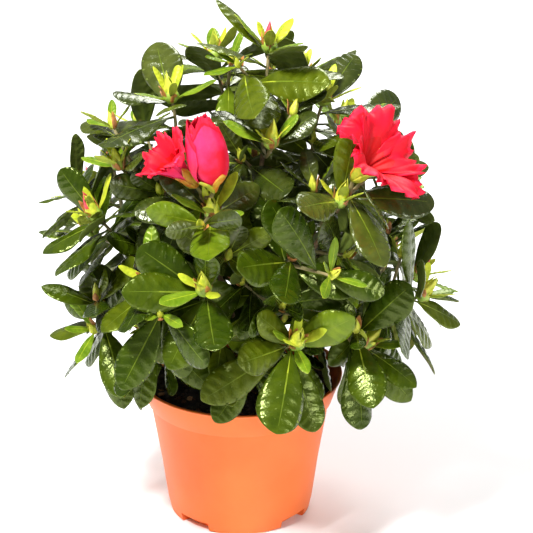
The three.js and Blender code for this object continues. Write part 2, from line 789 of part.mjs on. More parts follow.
const grownStem = stemSolid(gap + 0.05);
for (const mass of masses) {
  const whole = solidOf(limbGeometry(mass.bough, boughRadius, boughTipRadius, boughSides, boughSteps));
  addNode(`bough_${mass.name}`, fused([whole.subtract(grownStem)]), finishes.bark);
}

let shootsBefore = 0;
for (const mass of masses) {
  addNode(mass.name, massSolid(mass, shootsBefore), finishes.foliage);
  shootsBefore += mass.shoots.length;
}

export default plant;
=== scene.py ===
import math

import bpy
import numpy as np
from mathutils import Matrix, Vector, noise


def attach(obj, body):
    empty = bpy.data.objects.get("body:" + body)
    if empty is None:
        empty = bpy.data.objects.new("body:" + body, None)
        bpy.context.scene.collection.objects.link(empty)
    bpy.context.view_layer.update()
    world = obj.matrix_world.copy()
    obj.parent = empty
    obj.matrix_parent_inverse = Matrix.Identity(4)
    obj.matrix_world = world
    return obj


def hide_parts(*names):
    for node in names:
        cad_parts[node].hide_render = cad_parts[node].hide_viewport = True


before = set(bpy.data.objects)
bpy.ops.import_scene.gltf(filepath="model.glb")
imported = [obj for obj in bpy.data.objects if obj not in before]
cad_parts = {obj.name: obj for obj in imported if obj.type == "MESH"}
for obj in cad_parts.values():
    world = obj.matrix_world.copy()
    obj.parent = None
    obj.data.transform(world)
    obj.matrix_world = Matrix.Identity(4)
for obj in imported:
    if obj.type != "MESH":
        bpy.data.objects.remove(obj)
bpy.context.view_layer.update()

# Lengths are in millimetres here, as a grower would give them, and each mesh is turned into metres
# when it is made. Z is up, the pot stands on Z = 0, and -Y is the side that faces the camera.


# The nursery pot
# One thin wall of orange plastic, injection moulded: a rolled lip on a flared collar, a tapering wall
# and a stepped foot with four drain notches. The peat and the plant stand in it.

POT_HEIGHT = 86
RIM_RADIUS = 60
COLLAR_FOOT_HEIGHT = 70
COLLAR_FOOT_RADIUS = 54
WALL_TOP_RADIUS = 52.5
WAIST_HEIGHT = 34
WAIST_RADIUS = 46.5
FOOT_RADIUS = 41.5
WALL_THICKNESS = 1.5
FLOOR_THICKNESS = 3
FLOOR_MIDDLE = 0.2
FOOT_STEP_HEIGHT = 8
FOOT_STEP_WIDTH = 7
NOTCH_COUNT = 4
NOTCH_ANGLE = 28
NOTCH_HEIGHT = 5.5
NOTCH_DEPTH = 5.5
NOTCH_CORNER_ANGLE = 0.15
POT_TURN = 5
POT_STEP_ANGLE = 2.5
OUT_OF_ROUND = 0.0025
RELIEF_STRENGTH = 0.6

# The rolled lip, from the outside over the top to the inside: how far in from the rim, how far down.
LIP = [
    (2.4, 6), (1, 1.8), (0.5, 1.5), (0.1, 1.1), (0, 0.6), (0.3, 0.15), (0.8, 0), (1.4, 0), (1.9, 0.2),
    (2.2, 0.8), (2.8, 2.6),
]


def add_texture(material, kind, size, detail=None):
    """A pattern of a size in millimetres that is fixed to the piece."""
    nodes = material.node_tree.nodes
    place = nodes.new("ShaderNodeTexCoord")
    texture = nodes.new(kind)
    texture.inputs["Scale"].default_value = 1000 / size
    if detail:
        texture.inputs["Detail"].default_value = detail
    material.node_tree.links.new(place.outputs["Object"], texture.inputs["Vector"])
    return texture


def add_relief(material, height, depth):
    """Raise and sink the skin by a texture, to a depth in millimetres, on top of its relief so far."""
    link = material.node_tree.links.new
    normal = material.node_tree.nodes["Principled BSDF"].inputs["Normal"]
    bump = material.node_tree.nodes.new("ShaderNodeBump")
    bump.inputs["Strength"].default_value = RELIEF_STRENGTH
    bump.inputs["Distance"].default_value = depth / 1000
    link(height, bump.inputs["Height"])
    if normal.is_linked:
        link(normal.links[0].from_socket, bump.inputs["Normal"])
    link(bump.outputs["Normal"], normal)


def finish(name, dark, light, grain, roughness, relief=0.0, fine=0.0, split=(0.35, 0.65)):
    """A material in two tones mottled at a grain, with a relief of a depth at a fine grain."""
    material = bpy.data.materials.new(name)
    material.use_nodes = True
    nodes = material.node_tree.nodes
    link = material.node_tree.links.new
    shader = nodes["Principled BSDF"]
    mottle = add_texture(material, "ShaderNodeTexNoise", grain, 5)
    tones = nodes.new("ShaderNodeValToRGB")
    for stop, share, tone in zip(tones.color_ramp.elements, split, (dark, light)):
        stop.position = share
        stop.color = (*tone, 1)
    link(mottle.outputs["Fac"], tones.inputs["Fac"])
    link(tones.outputs["Color"], shader.inputs["Base Color"])
    gloss = nodes.new("ShaderNodeMapRange")
    gloss.inputs["To Min"].default_value = roughness[0]
    gloss.inputs["To Max"].default_value = roughness[1]
    link(mottle.outputs["Fac"], gloss.inputs["Value"])
    link(gloss.outputs["Result"], shader.inputs["Roughness"])
    if relief:
        add_relief(material, add_texture(material, "ShaderNodeTexNoise", fine, 4).outputs["Fac"], relief)
    return material


def add_object(name, data):
    thing = bpy.data.objects.new(name, data)
    bpy.context.scene.collection.objects.link(thing)
    return thing


def make_piece(name, points, faces, face_finish, finishes, crease=None):
    """A mesh piece on the plant's one body: points in millimetres, four-sided faces, their finishes."""
    points = np.reshape(points, (-1, 3)) / 1000
    faces = np.reshape(faces, (-1, 4))
    mesh = bpy.data.meshes.new(name)
    mesh.from_pydata(points, [], faces)
    for material in finishes:
        mesh.materials.append(material)
    mesh.polygons.foreach_set("material_index", np.broadcast_to(face_finish, len(faces)).astype(np.int32))
    mesh.validate()
    mesh.shade_smooth()
    if crease:
        mesh.set_sharp_from_angle(angle=math.radians(crease))
    piece = add_object(name, mesh)
    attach(piece, "root")
    return piece


def grid_faces(rows, columns, around=False):
    """Faces of a grid of points, row by row. Around joins each row's last point to its first."""
    row = np.arange(rows - 1)[:, None]
    column = np.arange(columns if around else columns - 1)[None, :]
    beside = (column + 1) % columns
    corners = [row * columns + column, row * columns + beside]
    corners += [(row + 1) * columns + beside, (row + 1) * columns + column]
    return np.stack(corners, axis=-1).reshape(-1, 4)


def round_axis(radius, angle, height):
    """A point at an angle in radians round the pot's axis."""
    return radius * math.cos(angle), radius * math.sin(angle), height


# From the middle of the underside up the outside, over the lip and down the inside to the floor.
pot_profile = [
    (FLOOR_MIDDLE, 0), (FOOT_RADIUS - NOTCH_DEPTH, 0), (FOOT_RADIUS - 1, 0), (FOOT_RADIUS - 0.2, 0.5),
    (FOOT_RADIUS + 0.9, NOTCH_HEIGHT), (FOOT_RADIUS + 1.2, NOTCH_HEIGHT + 1), (WAIST_RADIUS, WAIST_HEIGHT),
    (WALL_TOP_RADIUS - 0.3, COLLAR_FOOT_HEIGHT - 2), (WALL_TOP_RADIUS, COLLAR_FOOT_HEIGHT - 0.6),
    (COLLAR_FOOT_RADIUS - 0.2, COLLAR_FOOT_HEIGHT - 0.2),
    (COLLAR_FOOT_RADIUS + 0.1, COLLAR_FOOT_HEIGHT + 0.2),
    *[(RIM_RADIUS - inwards, POT_HEIGHT - down) for inwards, down in LIP],
    (COLLAR_FOOT_RADIUS - WALL_THICKNESS, COLLAR_FOOT_HEIGHT + 1),
    (WALL_TOP_RADIUS - WALL_THICKNESS, COLLAR_FOOT_HEIGHT - 0.8),
    (WAIST_RADIUS - WALL_THICKNESS, WAIST_HEIGHT), (FOOT_RADIUS - WALL_THICKNESS + 1, FOOT_STEP_HEIGHT),
    (FOOT_RADIUS - FOOT_STEP_WIDTH, FOOT_STEP_HEIGHT), (FOOT_RADIUS - FOOT_STEP_WIDTH - 1, FLOOR_THICKNESS),
    (FLOOR_MIDDLE, FLOOR_THICKNESS),
]
# In a notch the two points of the foot's outer edge, by their number, move in and up.
notched_points = {
    2: (FOOT_RADIUS - NOTCH_DEPTH, NOTCH_HEIGHT - 0.4),
    3: (FOOT_RADIUS - NOTCH_DEPTH + 0.3, NOTCH_HEIGHT),
}
notch_middles = [POT_TURN - 90 + (i + 0.5) * 360 / NOTCH_COUNT for i in range(NOTCH_COUNT)]


def is_notched(angle):
    return min(abs((angle - middle + 180) % 360 - 180) for middle in notch_middles) < NOTCH_ANGLE / 2


pot_angles = {round(angle, 2) for angle in np.arange(-180, 180, POT_STEP_ANGLE)}
for middle in notch_middles:
    for side in (-1, 1):
        edge = (middle + side * NOTCH_ANGLE / 2 + 180) % 360 - 180
        pot_angles |= {round(edge - NOTCH_CORNER_ANGLE, 2), round(edge + NOTCH_CORNER_ANGLE, 2)}
pot_points = []
for i, plain_point in enumerate(pot_profile):
    for angle in sorted(pot_angles):
        radius, height = notched_points.get(i, plain_point) if is_notched(angle) else plain_point
        turn = math.radians(angle)
        radius *= 1 + OUT_OF_ROUND * math.sin(3 * turn) * (height / POT_HEIGHT)
        pot_points.append(round_axis(radius, turn, height))
pot_faces = grid_faces(len(pot_profile), len(pot_angles), around=True)
plastic = finish("orange_plastic", (0.78, 0.146, 0.024), (0.86, 0.178, 0.035), 45, (0.42, 0.55), 0.05, 1.6)
plastic.node_tree.nodes["Principled BSDF"].inputs["Specular IOR Level"].default_value = 0.35
pot = make_piece("nursery_pot", pot_points, pot_faces, 0, [plastic], crease=32)
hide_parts("pot")


# The peat
# Damp peat fills the pot to a finger's width below the lip and is a little higher round the stem.
# Loose crumbs and bark chips lie on it.

SOIL_TOP = 79
SOIL_RADIUS = 54.6
SOIL_MIDDLE = 0.3
SOIL_RINGS = 58
SOIL_SIDES = 120
SOIL_EDGE_DROP = 2.5
SOIL_SETTLED = 0.5
LUMPS_END = 56
LUMPS_FADE = 8
CRUMBS = 900
CRUMB_SIZES = (0.5, 1.9)
CHIPS = 90
CHIP_SIZES = (1.0, 2.2)
SCATTER_RADIUS = 54
LUMP_ROWS = 4
LUMP_SIDES = 6
LUMP_POLE = 0.15

# How far the surface is from the pot's axis and how high it is there, without its lumps. The coarse
# and the fine lumps have a width, a height and a place in the noise.
SOIL_PROFILE = [(0, SOIL_TOP), (32, SOIL_TOP - 0.8), (55.3, SOIL_TOP - SOIL_EDGE_DROP)]
SURFACE_LUMPS = [(9, 1.3, 1.7), (2.6, 0.7, 4.1)]


def draws(seed):
    """A repeatable stream of numbers from 0 to 1."""
    state = seed
    while True:
        state = (state * 1664525 + 1013904223) % 4294967296
        yield state / 4294967296


def soil_height(x, y):
    """The height of the peat's surface, whose lumps fade out towards the wall."""
    reach = math.hypot(x, y)
    level = np.interp(reach, *zip(*SOIL_PROFILE))
    lumps = sum(noise.noise(Vector((x / width, y / width, z))) * height for width, height, z in SURFACE_LUMPS)
    return level + lumps * min(1, (LUMPS_END - reach) / LUMPS_FADE) - SOIL_SETTLED


# Below the surface the peat follows the inside of the collar, the wall, the step and the floor.
soil_rings = [(radius, None) for radius in np.linspace(SOIL_MIDDLE, SOIL_RADIUS, SOIL_RINGS)]
soil_rings += [
    (SOIL_RADIUS + 0.4, SOIL_TOP - 3.8), (WALL_TOP_RADIUS - WALL_THICKNESS - 0.8, COLLAR_FOOT_HEIGHT - 1.5),
    (FOOT_RADIUS - WALL_THICKNESS + 1, FOOT_STEP_HEIGHT + 0.6),
    (FOOT_RADIUS - FOOT_STEP_WIDTH - 1.5, FOOT_STEP_HEIGHT + 0.4),
    (FOOT_RADIUS - FOOT_STEP_WIDTH - 1.9, FLOOR_THICKNESS + 0.5), (SOIL_MIDDLE, FLOOR_THICKNESS + 0.5),
]
soil_points = []
for radius, height in soil_rings:
    for i in range(SOIL_SIDES):
        x, y, z = round_axis(radius, i * math.tau / SOIL_SIDES, height)
        soil_points.append((x, y, soil_height(x, y) if z is None else z))
soil_faces = grid_faces(len(soil_rings), SOIL_SIDES, around=True)[:, ::-1]
peat = finish("damp_peat", (0.008, 0.0055, 0.005), (0.035, 0.021, 0.016), 3, (0.75, 0.95), 0.5, 0.7)
soil = make_piece("peat", soil_points, soil_faces, 0, [peat])
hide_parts("soil")


def joined(parts):
    """One mesh of many. A part is its points, its faces, and a finish for each face or for them all."""
    points, faces, finishes, first = [], [], [], 0
    for part_points, part_faces, part_finish in parts:
        points.append(part_points)
        faces.append(part_faces + first)
        finishes.append(np.broadcast_to(part_finish, len(part_faces)))
        first += len(part_points)
    return np.vstack(points), np.vstack(faces), np.concatenate(finishes)


def lump_mesh(draw, sizes, longer):
    """A rough lump half sunk in the peat, and longer than it is wide by up to the given share."""
    reach, angle = SCATTER_RADIUS * math.sqrt(next(draw)), math.tau * next(draw)
    x, y, _ = round_axis(reach, angle, 0)
    level = soil_height(x, y)
    size = sizes[0] + (sizes[1] - sizes[0]) * next(draw) ** 2
    length, turn = 1 + longer * next(draw), math.tau * next(draw)
    points = []
    for row in range(LUMP_ROWS):
        slope = math.pi * (row + LUMP_POLE) / (LUMP_ROWS - 1 + 2 * LUMP_POLE)
        for column in range(LUMP_SIDES):
            angle = column * math.tau / LUMP_SIDES
            radius = size * math.sin(slope) * (0.75 + 0.5 * next(draw))
            u, v = length * radius * math.cos(angle), radius * math.sin(angle)
            points.append((
                x + u * math.cos(turn) - v * math.sin(turn),
                y + u * math.sin(turn) + v * math.cos(turn),
                level + size * (0.2 - 0.75 * math.cos(slope) / length),
            ))
    return points, grid_faces(LUMP_ROWS, LUMP_SIDES, around=True)[:, ::-1]


crumb_tones = [
    finish("dark_crumb", (0.012, 0.008, 0.007), (0.04, 0.022, 0.016), 1.5, (0.8, 0.95)),
    finish("red_brown_crumb", (0.06, 0.02, 0.01), (0.12, 0.045, 0.02), 1.5, (0.7, 0.9)),
]
crumb_draw = draws(11)
crumb_parts = [(*lump_mesh(crumb_draw, CRUMB_SIZES, 0.8), i % 5 == 0) for i in range(CRUMBS)]
crumbs = make_piece("peat_crumbs", *joined(crumb_parts), crumb_tones, crease=40)
chip_tone = finish("bark_chip", (0.16, 0.07, 0.03), (0.36, 0.2, 0.08), 1.2, (0.7, 0.9))
chip_draw = draws(23)
chip_parts = [(*lump_mesh(chip_draw, CHIP_SIZES, 3.2), 0) for _ in range(CHIPS)]
chips = make_piece("bark_chips", *joined(chip_parts), [chip_tone], crease=35)


# The stem
# A short woody stem, hidden by the leaves: a root flare at the peat, then a slow taper and a slight
# lean up to the fork. Its bark is thin, grey-brown and finely furrowed.

STEM_HEIGHT = 46
STEM_FLARE_RADIUS = 8
STEM_RADIUS = 5.4
STEM_TIP_RADIUS = 3.6
STEM_LEAN = (2.5, -1.5)
STEM_GAP = 0.3
STEM_SUNK = 1.5
STEM_RINGS = 60
STEM_SIDES = 40
STEM_FURROWS = 0.09

# The bark's pattern round and along a limb, and how much finer its furrows and its knots are.
BARK_AROUND = 1.6
BARK_ALONG = 0.22
FURROW_FINENESS = 2.1
KNOT_FINENESS = 5.3
KNOT_SHARE = 0.6


def unit(v):
    return v / np.linalg.norm(v)


def around_lean(lean):
    """Two directions square to a lean and to each other."""
    across = np.array([0.0, 1.0, 0.0]) if abs(lean[2]) > 0.9 else np.array([0.0, 0.0, 1.0])
    first = unit(np.cross(across, lean))
    return first, np.cross(lean, first)


def limb_mesh(path, radii, sides, furrows, seed):
    """A limb of round section along a path of points, closed at its ends, with furrows and knots."""
    path = np.asarray(path)
    forward = [unit(step) for step in np.gradient(path, axis=0)]
    side = around_lean(forward[0])[0]
    rings = [[path[0] - 0.2 * forward[0]] * sides]
    for i, (centre, radius) in enumerate(zip(path, radii)):
        side = unit(side - forward[i] * side.dot(forward[i]))
        upper = np.cross(forward[i], side)
        ring = []
        for angle in np.arange(sides) * math.tau / sides:
            spot = Vector(round_axis(BARK_AROUND, angle, seed + BARK_ALONG * i))
            rough = noise.noise(spot * FURROW_FINENESS) + KNOT_SHARE * noise.noise(spot * KNOT_FINENESS)
            reach = radius * (1 + furrows * rough)
            ring.append(centre + reach * (math.cos(angle) * side + math.sin(angle) * upper))
        rings.append(ring)
    rings.append([path[-1] + 0.5 * radii[-1] * forward[-1]] * sides)
    return np.reshape(rings, (-1, 3)), grid_faces(len(rings), sides, around=True)


def on_stem(height):
    """A point at a height on the stem's middle line."""
    share = (height - SOIL_TOP - STEM_GAP) / STEM_HEIGHT
    return np.array([STEM_LEAN[0] * share, STEM_LEAN[1] * share, height])


stem_shares = np.linspace(0, 1, STEM_RINGS)
stem_heights = SOIL_TOP + STEM_GAP - STEM_SUNK + stem_shares * (STEM_HEIGHT + STEM_SUNK)
stem_path = [on_stem(height) for height in stem_heights]
stem_taper = (STEM_TIP_RADIUS - STEM_RADIUS) * stem_shares
stem_flare = (STEM_FLARE_RADIUS - STEM_RADIUS) * (1 - stem_shares) ** 5
stem_radii = STEM_RADIUS + stem_taper + stem_flare
bark = finish("stem_bark", (0.075, 0.045, 0.028), (0.2, 0.125, 0.075), 5, (0.75, 0.92), 0.5, 0.9)
stem_points, stem_faces = limb_mesh(stem_path, stem_radii, STEM_SIDES, STEM_FURROWS, 3.0)
stem = make_piece("stem_bark_relief", stem_points, stem_faces, 0, [bark])
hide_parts("stem")


# The boughs
# One slim bough runs from the stem to each mass of foliage. It leaves the stem at a slant and bends
# up, and its bark is a little lighter than the stem's.

BOUGH_RADIUS = 1.9
BOUGH_TIP_RADIUS = 1.3
BOUGH_BEND = 0.3
BOUGH_SHARE = 0.6
LONGEST_BOUGH_SHARE = 0.82
BOUGH_SHARE_STEP = 0.02
BOUGH_RINGS = 36
BOUGH_END_RINGS = 4
BOUGH_SIDES = 12
BOUGH_FURROWS = 0.14
HUB_SHARE = 0.1
ROOT_ROOM = 3
BLOOM_MIDDLE = 0.62

# A shoot's lean in degrees: the least and the most, what it is at a low height, and how much less it
# is for each millimetre above that. Shoots nearer the pot's axis than the last value lean less.
LEAST_LEAN = 12
MOST_LEAN = 68
LOW_LEAN = 70
LOW_LEAN_HEIGHT = 120
LEAN_LOST = 0.33
FULL_LEAN_REACH = 60

# Each mass: its name, the height at which its bough leaves the stem, and its shoots. A shoot is given
# by its direction from the front, its reach from the pot's axis, its height, and its first leaf's turn.
MASSES = [
    ("crown_front", 124, [(90, 17, 284, 100), (20, 53, 246, 310)]),
    ("crown_back", 117, [(-165, 54, 262, 10), (145, 62, 250, 150)]),
    ("upper_left", 117, [(-68, 40, 260, 120), (-58, 77, 230, 300)]),
    ("right_upper", 117, [(80, 48, 256, 40), (87, 76, 212, 130)]),
    ("left_flowering", 109, [(-11, 70, 212, 90)]),
    ("right_flowering", 109, [(40, 86, 218, 0)]),
    ("back_right", 109, [(118, 100, 184, 70), (128, 74, 222, 260)]),
    ("back_left", 109, [(-117, 94, 182, 95), (-130, 74, 220, 235)]),
    ("front_middle", 104, [(22, 80, 190, 180)]),
    ("front_left", 99, [(-12, 86, 174, 0), (-38, 78, 169, 250)]),
    ("left", 99, [(-66, 87, 198, 60), (-93, 84, 172, 200)]),
    ("right", 99, [(75, 107, 146, 80), (55, 87, 126, 220)]),
    ("back_middle", 99, [(177, 90, 209, 15), (-172, 98, 168, 155)]),
    ("low_left", 90, [(-88, 78, 124, 140), (-52, 70, 134, 20)]),
    ("front_low", 90, [(22, 84, 139, 45)]),
    ("low_right_back", 90, [(104, 106, 135, 30), (145, 104, 138, 190)]),
    ("low_back", 90, [(-150, 100, 143, 330), (175, 98, 132, 110)]),
]
# The leader's bough goes straight on from the stem's top.
LEADER = "crown_front"

# Each bloom: its mass, foot, mouth, the radius of its mouth, whether it is open, and its turn.
BLOOMS = [
    ("left_flowering", (-25, -72, 233), (-46, -79, 256), 17, True, 20),
    ("left_flowering", (-13, -79, 234), (-20, -82, 272), 11, False, 0),
    ("right_flowering", (65, -68, 235), (85, -78, 258), 31, True, 40),
]


class Bend:
    """A limb's middle line: it leaves its start towards a handle and ends along the way from there."""

    def __init__(self, start, handle, end):
        self.start, self.handle, self.end = start, handle, end

    def at(self, share):
        share = np.asarray(share, dtype=float)[..., None]
        return (1 - share) ** 2 * self.start + 2 * (1 - share) * share * self.handle + share**2 * self.end

    def length(self):
        return np.linalg.norm(np.diff(self.at(np.linspace(0, 1, 201)), axis=0), axis=1).sum()


class Named:
    """One mass, bloom, twig, leaf or shape with its facts by name."""

    def __init__(self, **facts):
        self.__dict__.update(facts)


def shoot_pose(direction, reach, height, spin):
    """The place and the lean of a shoot's tip. It leans outwards, more so low on the crown."""
    direction = math.radians(direction)
    outwards = np.array([math.sin(direction), -math.cos(direction), 0.0])
    tilt = min(MOST_LEAN, max(LEAST_LEAN, LOW_LEAN - (height - LOW_LEAN_HEIGHT) * LEAN_LOST))
    tilt = math.radians(tilt) * min(1, reach / FULL_LEAN_REACH)
    lean = outwards * math.sin(tilt) + (0, 0, math.cos(tilt))
    return Named(tip=outwards * reach + (0, 0, height), lean=lean, spin=spin)


blooms = []
for mass_name, foot, mouth, mouth_radius, is_open, turn in BLOOMS:
    foot, mouth = np.array(foot, dtype=float), np.array(mouth, dtype=float)
    blooms.append(Named(
        mass=mass_name, foot=foot, mouth=mouth, radius=mouth_radius, is_open=is_open, turn=turn,
        depth=np.linalg.norm(mouth - foot), lean=unit(mouth - foot),
        middle=foot + BLOOM_MIDDLE * (mouth - foot),
    ))
masses = []
for mass_name, fork, shoots in MASSES:
    shoots = [shoot_pose(*shoot) for shoot in shoots]
    own_blooms = [bloom for bloom in blooms if bloom.mass == mass_name]
    centre = np.mean([shoot.tip for shoot in shoots] + [bloom.middle for bloom in own_blooms], axis=0)
    masses.append(Named(name=mass_name, fork=fork, shoots=shoots, blooms=own_blooms, centre=centre))
for mass in masses:
    others = np.array([other.centre for other in masses if other is not mass])
    mass.walls = (mass.centre + others) / 2
    mass.inwards = (mass.centre - others) / np.linalg.norm(mass.centre - others, axis=1)[:, None]


def room_in_space(mass, points):
    """Room between points and the flat walls that part their mass's space from all others."""
    points = np.atleast_2d(points)
    return (points @ mass.inwards.T - (mass.walls * mass.inwards).sum(axis=1)).min(axis=1)


bough_parts = []
for i, mass in enumerate(masses):
    start = on_stem(mass.fork)
    way = mass.centre - start
    share = BOUGH_SHARE
    while share < LONGEST_BOUGH_SHARE and room_in_space(mass, start + way * share)[0] < ROOT_ROOM:
        share += BOUGH_SHARE_STEP
    end = start + way * share
    bend = BOUGH_BEND * np.linalg.norm(end - start)
    outwards = unit((end - start) * (1, 1, 0))
    handle = start + outwards * (0 if mass.name == LEADER else bend) + (0, 0, bend)
    mass.bough = Bend(start, handle, end)
    mass.hub = start + way * (share + HUB_SHARE)
    into_mass = end + (mass.hub - end) * np.linspace(0.25, 1, BOUGH_END_RINGS)[:, None]
    path = np.vstack([mass.bough.at(np.linspace(0, 1, BOUGH_RINGS)), into_mass])
    radii = np.linspace(BOUGH_RADIUS, BOUGH_TIP_RADIUS, len(path))
    bough_parts.append((*limb_mesh(path, radii, BOUGH_SIDES, BOUGH_FURROWS, 10.0 + 3 * i), 0))
branch_bark = finish("branch_bark", (0.11, 0.07, 0.035), (0.26, 0.17, 0.085), 4, (0.7, 0.88), 0.4, 0.8)
boughs = make_piece("boughs_bark_relief", *joined(bough_parts), [branch_bark])
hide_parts(*[f"bough_{mass.name}" for mass in masses])


# The shoots
# Each bough ends in a hub where the twigs branch off: one to each shoot, a side twig part of the way
# along, and finer ones between them. Their place in the crown is settled first, then their leaves.

TWIG_SEED = 1000
TWIG_SEED_STEP = 37
SIDE_SEED_STEP = 11
SIDE_SHOOT_LENGTH = 34
SIDE_TIP_SPACING = 26
SIDE_TIP_ROOM = 7
SIDE_TWIG_FROM = 0.5
SIDE_TWIG_STEP = 0.12
SIDE_TWIG_TURNS = 8
SIDE_TWIG_AHEAD = 0.75
SIDE_TWIG_RISE = 0.25
FIRST_BIG_LEAF = 3
SIDE_LEAVES_FROM = 5
HEART_RISE = 0.8
BUD_LENGTH = 18
SMALL_BUD = 0.6
LIMB_SAMPLES = np.linspace(0, 1, 17)

# Clear room that shoots and leaves keep to the pot, the blooms and the limbs, and before a bloom's face.
POT_ROOM = 2
BLOOM_ROOM = 3
BLOOM_ROOM_DEPTH = 1.25
LIMB_ROOM = 7.2
BLOOM_FACE = np.array([0, -0.92, 0.39])
BLOOM_SHOWN = 0.85

# The crown's outline: a steep dome above its widest height, full and round below it.
CROWN_AXIS_X = 8
CROWN_WIDEST_HEIGHT = 188
CROWN_RADIUS = 124
CROWN_RISE = 138
CROWN_DROP = 120
CROWN_DOME_POWER = 1.4
CROWN_FOOT_POWER = 4
CROWN_TIP_ROOM = 16

limb_points = np.vstack([mass.bough.at(LIMB_SAMPLES) for mass in masses])


def is_in_bloom(bloom, points):
    """Whether points lie in a bloom, or in front of it where they would hide its face."""
    offset = points - bloom.foot
    along = offset @ bloom.lean
    aside = np.linalg.norm(offset - along[:, None] * bloom.lean, axis=1)
    widening = along / bloom.depth if bloom.is_open else 1.0
    reach = np.minimum(1, widening) * bloom.radius + BLOOM_ROOM
    ahead = (points - bloom.middle) @ BLOOM_FACE
    beside = np.linalg.norm(points - bloom.middle - ahead[:, None] * BLOOM_FACE, axis=1)
    in_front = (ahead > 0) & (beside < BLOOM_SHOWN * bloom.radius)
    return (along > 0) & (along < BLOOM_ROOM_DEPTH * bloom.depth) & (aside < reach) | in_front


def is_clear(points, limb_room=LIMB_ROOM):
    """Whether all these points are clear of the pot, the peat, the limbs and the blooms."""
    points = np.atleast_2d(points)
    reach = np.hypot(points[:, 0], points[:, 1])
    if ((points[:, 2] < POT_HEIGHT + POT_ROOM) & (reach < RIM_RADIUS + POT_ROOM)).any():
        return False
    if any(is_in_bloom(bloom, points).any() for bloom in blooms):
        return False
    spacing = np.linalg.norm(points[:, None] - limb_points[None], axis=2)
    return bool((spacing > limb_room).all())


def in_crown(points):
    """Whether all these points lie in the crown's outline."""
    reach = np.hypot(points[:, 0] - CROWN_AXIS_X, points[:, 1]) / CROWN_RADIUS
    rise = points[:, 2] - CROWN_WIDEST_HEIGHT
    above = rise > 0
    rise = np.abs(rise) / np.where(above, CROWN_RISE, CROWN_DROP)
    power = np.where(above, CROWN_DOME_POWER, CROWN_FOOT_POWER)
    return bool((reach**power + rise**power < 1).all())


def heart_lean(lean):
    """The heart of a shoot turns up to the light."""
    return unit(lean + np.array([0, 0, HEART_RISE]))


def heart_line(tip, lean, size):
    """The middle line of the bud at a shoot's tip."""
    return tip + heart_lean(lean) * BUD_LENGTH * size * np.linspace(0.1, 0.9, 4)[:, None]


def sideways(lean, azimuth):
    """The direction square to a lean at an azimuth in radians round it."""
    first, second = around_lean(lean)
    return first * math.cos(azimuth) + second * math.sin(azimuth)


def twig_bend(hub, tip, lean):
    return Bend(hub, tip - lean * 0.5 * np.linalg.norm(tip - hub), tip)


def side_twig(mass, parent, k, twigs, spacing, room, length, grown=None):
    """A side twig turns round its parent until its tip has room, and is left out if it finds none."""
    seed = parent.seed + SIDE_SEED_STEP * (k + 1)
    draw = draws(seed)
    base = parent.bend.at(SIDE_TWIG_FROM + SIDE_TWIG_STEP * k)
    start = 360 * next(draw)
    for step in range(SIDE_TWIG_TURNS):
        lean = sideways(parent.lean, math.radians(start + 360 / SIDE_TWIG_TURNS * step))
        lean = unit(lean + parent.lean * SIDE_TWIG_AHEAD + (0, 0, SIDE_TWIG_RISE))
        tip = base + lean * length
        apart = all(np.linalg.norm(twig.tip - tip) > spacing for twig in twigs)
        inside = in_crown((tip + CROWN_TIP_ROOM * lean)[None])
        if apart and inside and room_in_space(mass, tip)[0] > room and is_clear(tip):
            bend = Bend(base, (base + tip) / 2, tip)
            line = np.vstack([bend.at(LIMB_SAMPLES[3:]), heart_line(tip, lean, SMALL_BUD)])
            if grown and grown.crossed_by(line):
                continue
            spin = 360 * next(draw)
            return Named(tip=tip, lean=lean, bend=bend, spin=spin, seed=seed + 5, first_leaf=SIDE_LEAVES_FROM)
    return None


next_seed = TWIG_SEED
for mass in masses:
    for shoot in mass.shoots:
        shoot.bend = twig_bend(mass.hub, shoot.tip, shoot.lean)
        shoot.seed = next_seed
        shoot.first_leaf = FIRST_BIG_LEAF
        next_seed += TWIG_SEED_STEP
    mass.twigs = list(mass.shoots)
    for parent in mass.shoots:
        side = side_twig(mass, parent, 0, mass.twigs, SIDE_TIP_SPACING, SIDE_TIP_ROOM, SIDE_SHOOT_LENGTH)
        if side:
            mass.twigs.append(side)
    mass.twig_points = np.vstack([twig.bend.at(LIMB_SAMPLES) for twig in mass.twigs])


# The leaves
# Evergreen leaves crowd the end of each shoot in golden-angle order, small and upright at the heart,
# broad, arched and drooping below. They are leathery, with sunk veins and a pale rib.

LEAF_LENGTH = 50
HEART_LEAF_LENGTH = 20
LEAF_WIDTH_SHARE = 0.54
SOLID_LEAF_THICKNESS = 1.1
LEAF_ROOT = 0.35
LEAVES_PER_SHOOT = 12
FULL_SIZE_RANK = 0.4
LEAFED_LENGTH = 32
LEAF_SAG = 0.22
LEAF_FOLD = 0.12
YOUNGEST_BEND = 0.03
MORE_BEND = 0.16
FIRST_LEAF_BACK = 1.5
FARTHEST_LEAF_BACK = 0.9
GOLDEN_ANGLE = 137.508
HEART_OPENING = 14
WIDEST_OPENING = 74
SLANTED_OPENING = 24
POSE_PLAY = 16
SPACE_ROOM = 0.45
TWIG_ROOM = 3.5
FREE_BLADE_FROM = 0.35
FEWEST_SIDE_LEAVES = 2
MOST_LEAVES = 4000

# What a leaf tries in order until it has room: a turn round its twig, a change of its opening, both
# in degrees, and a share of its full length.
LEAF_TRIES = [
    (0, 0, 1), (12, -6, 1), (-12, -6, 1), (0, -14, 1), (0, 12, 1), (24, 6, 0.95), (-24, 6, 0.95),
    (0, 0, 0.85), (36, -12, 0.9), (-36, -12, 0.9), (18, -20, 0.8), (-18, -20, 0.8), (0, 16, 0.75),
    (30, 8, 0.7), (-30, 8, 0.7),
]

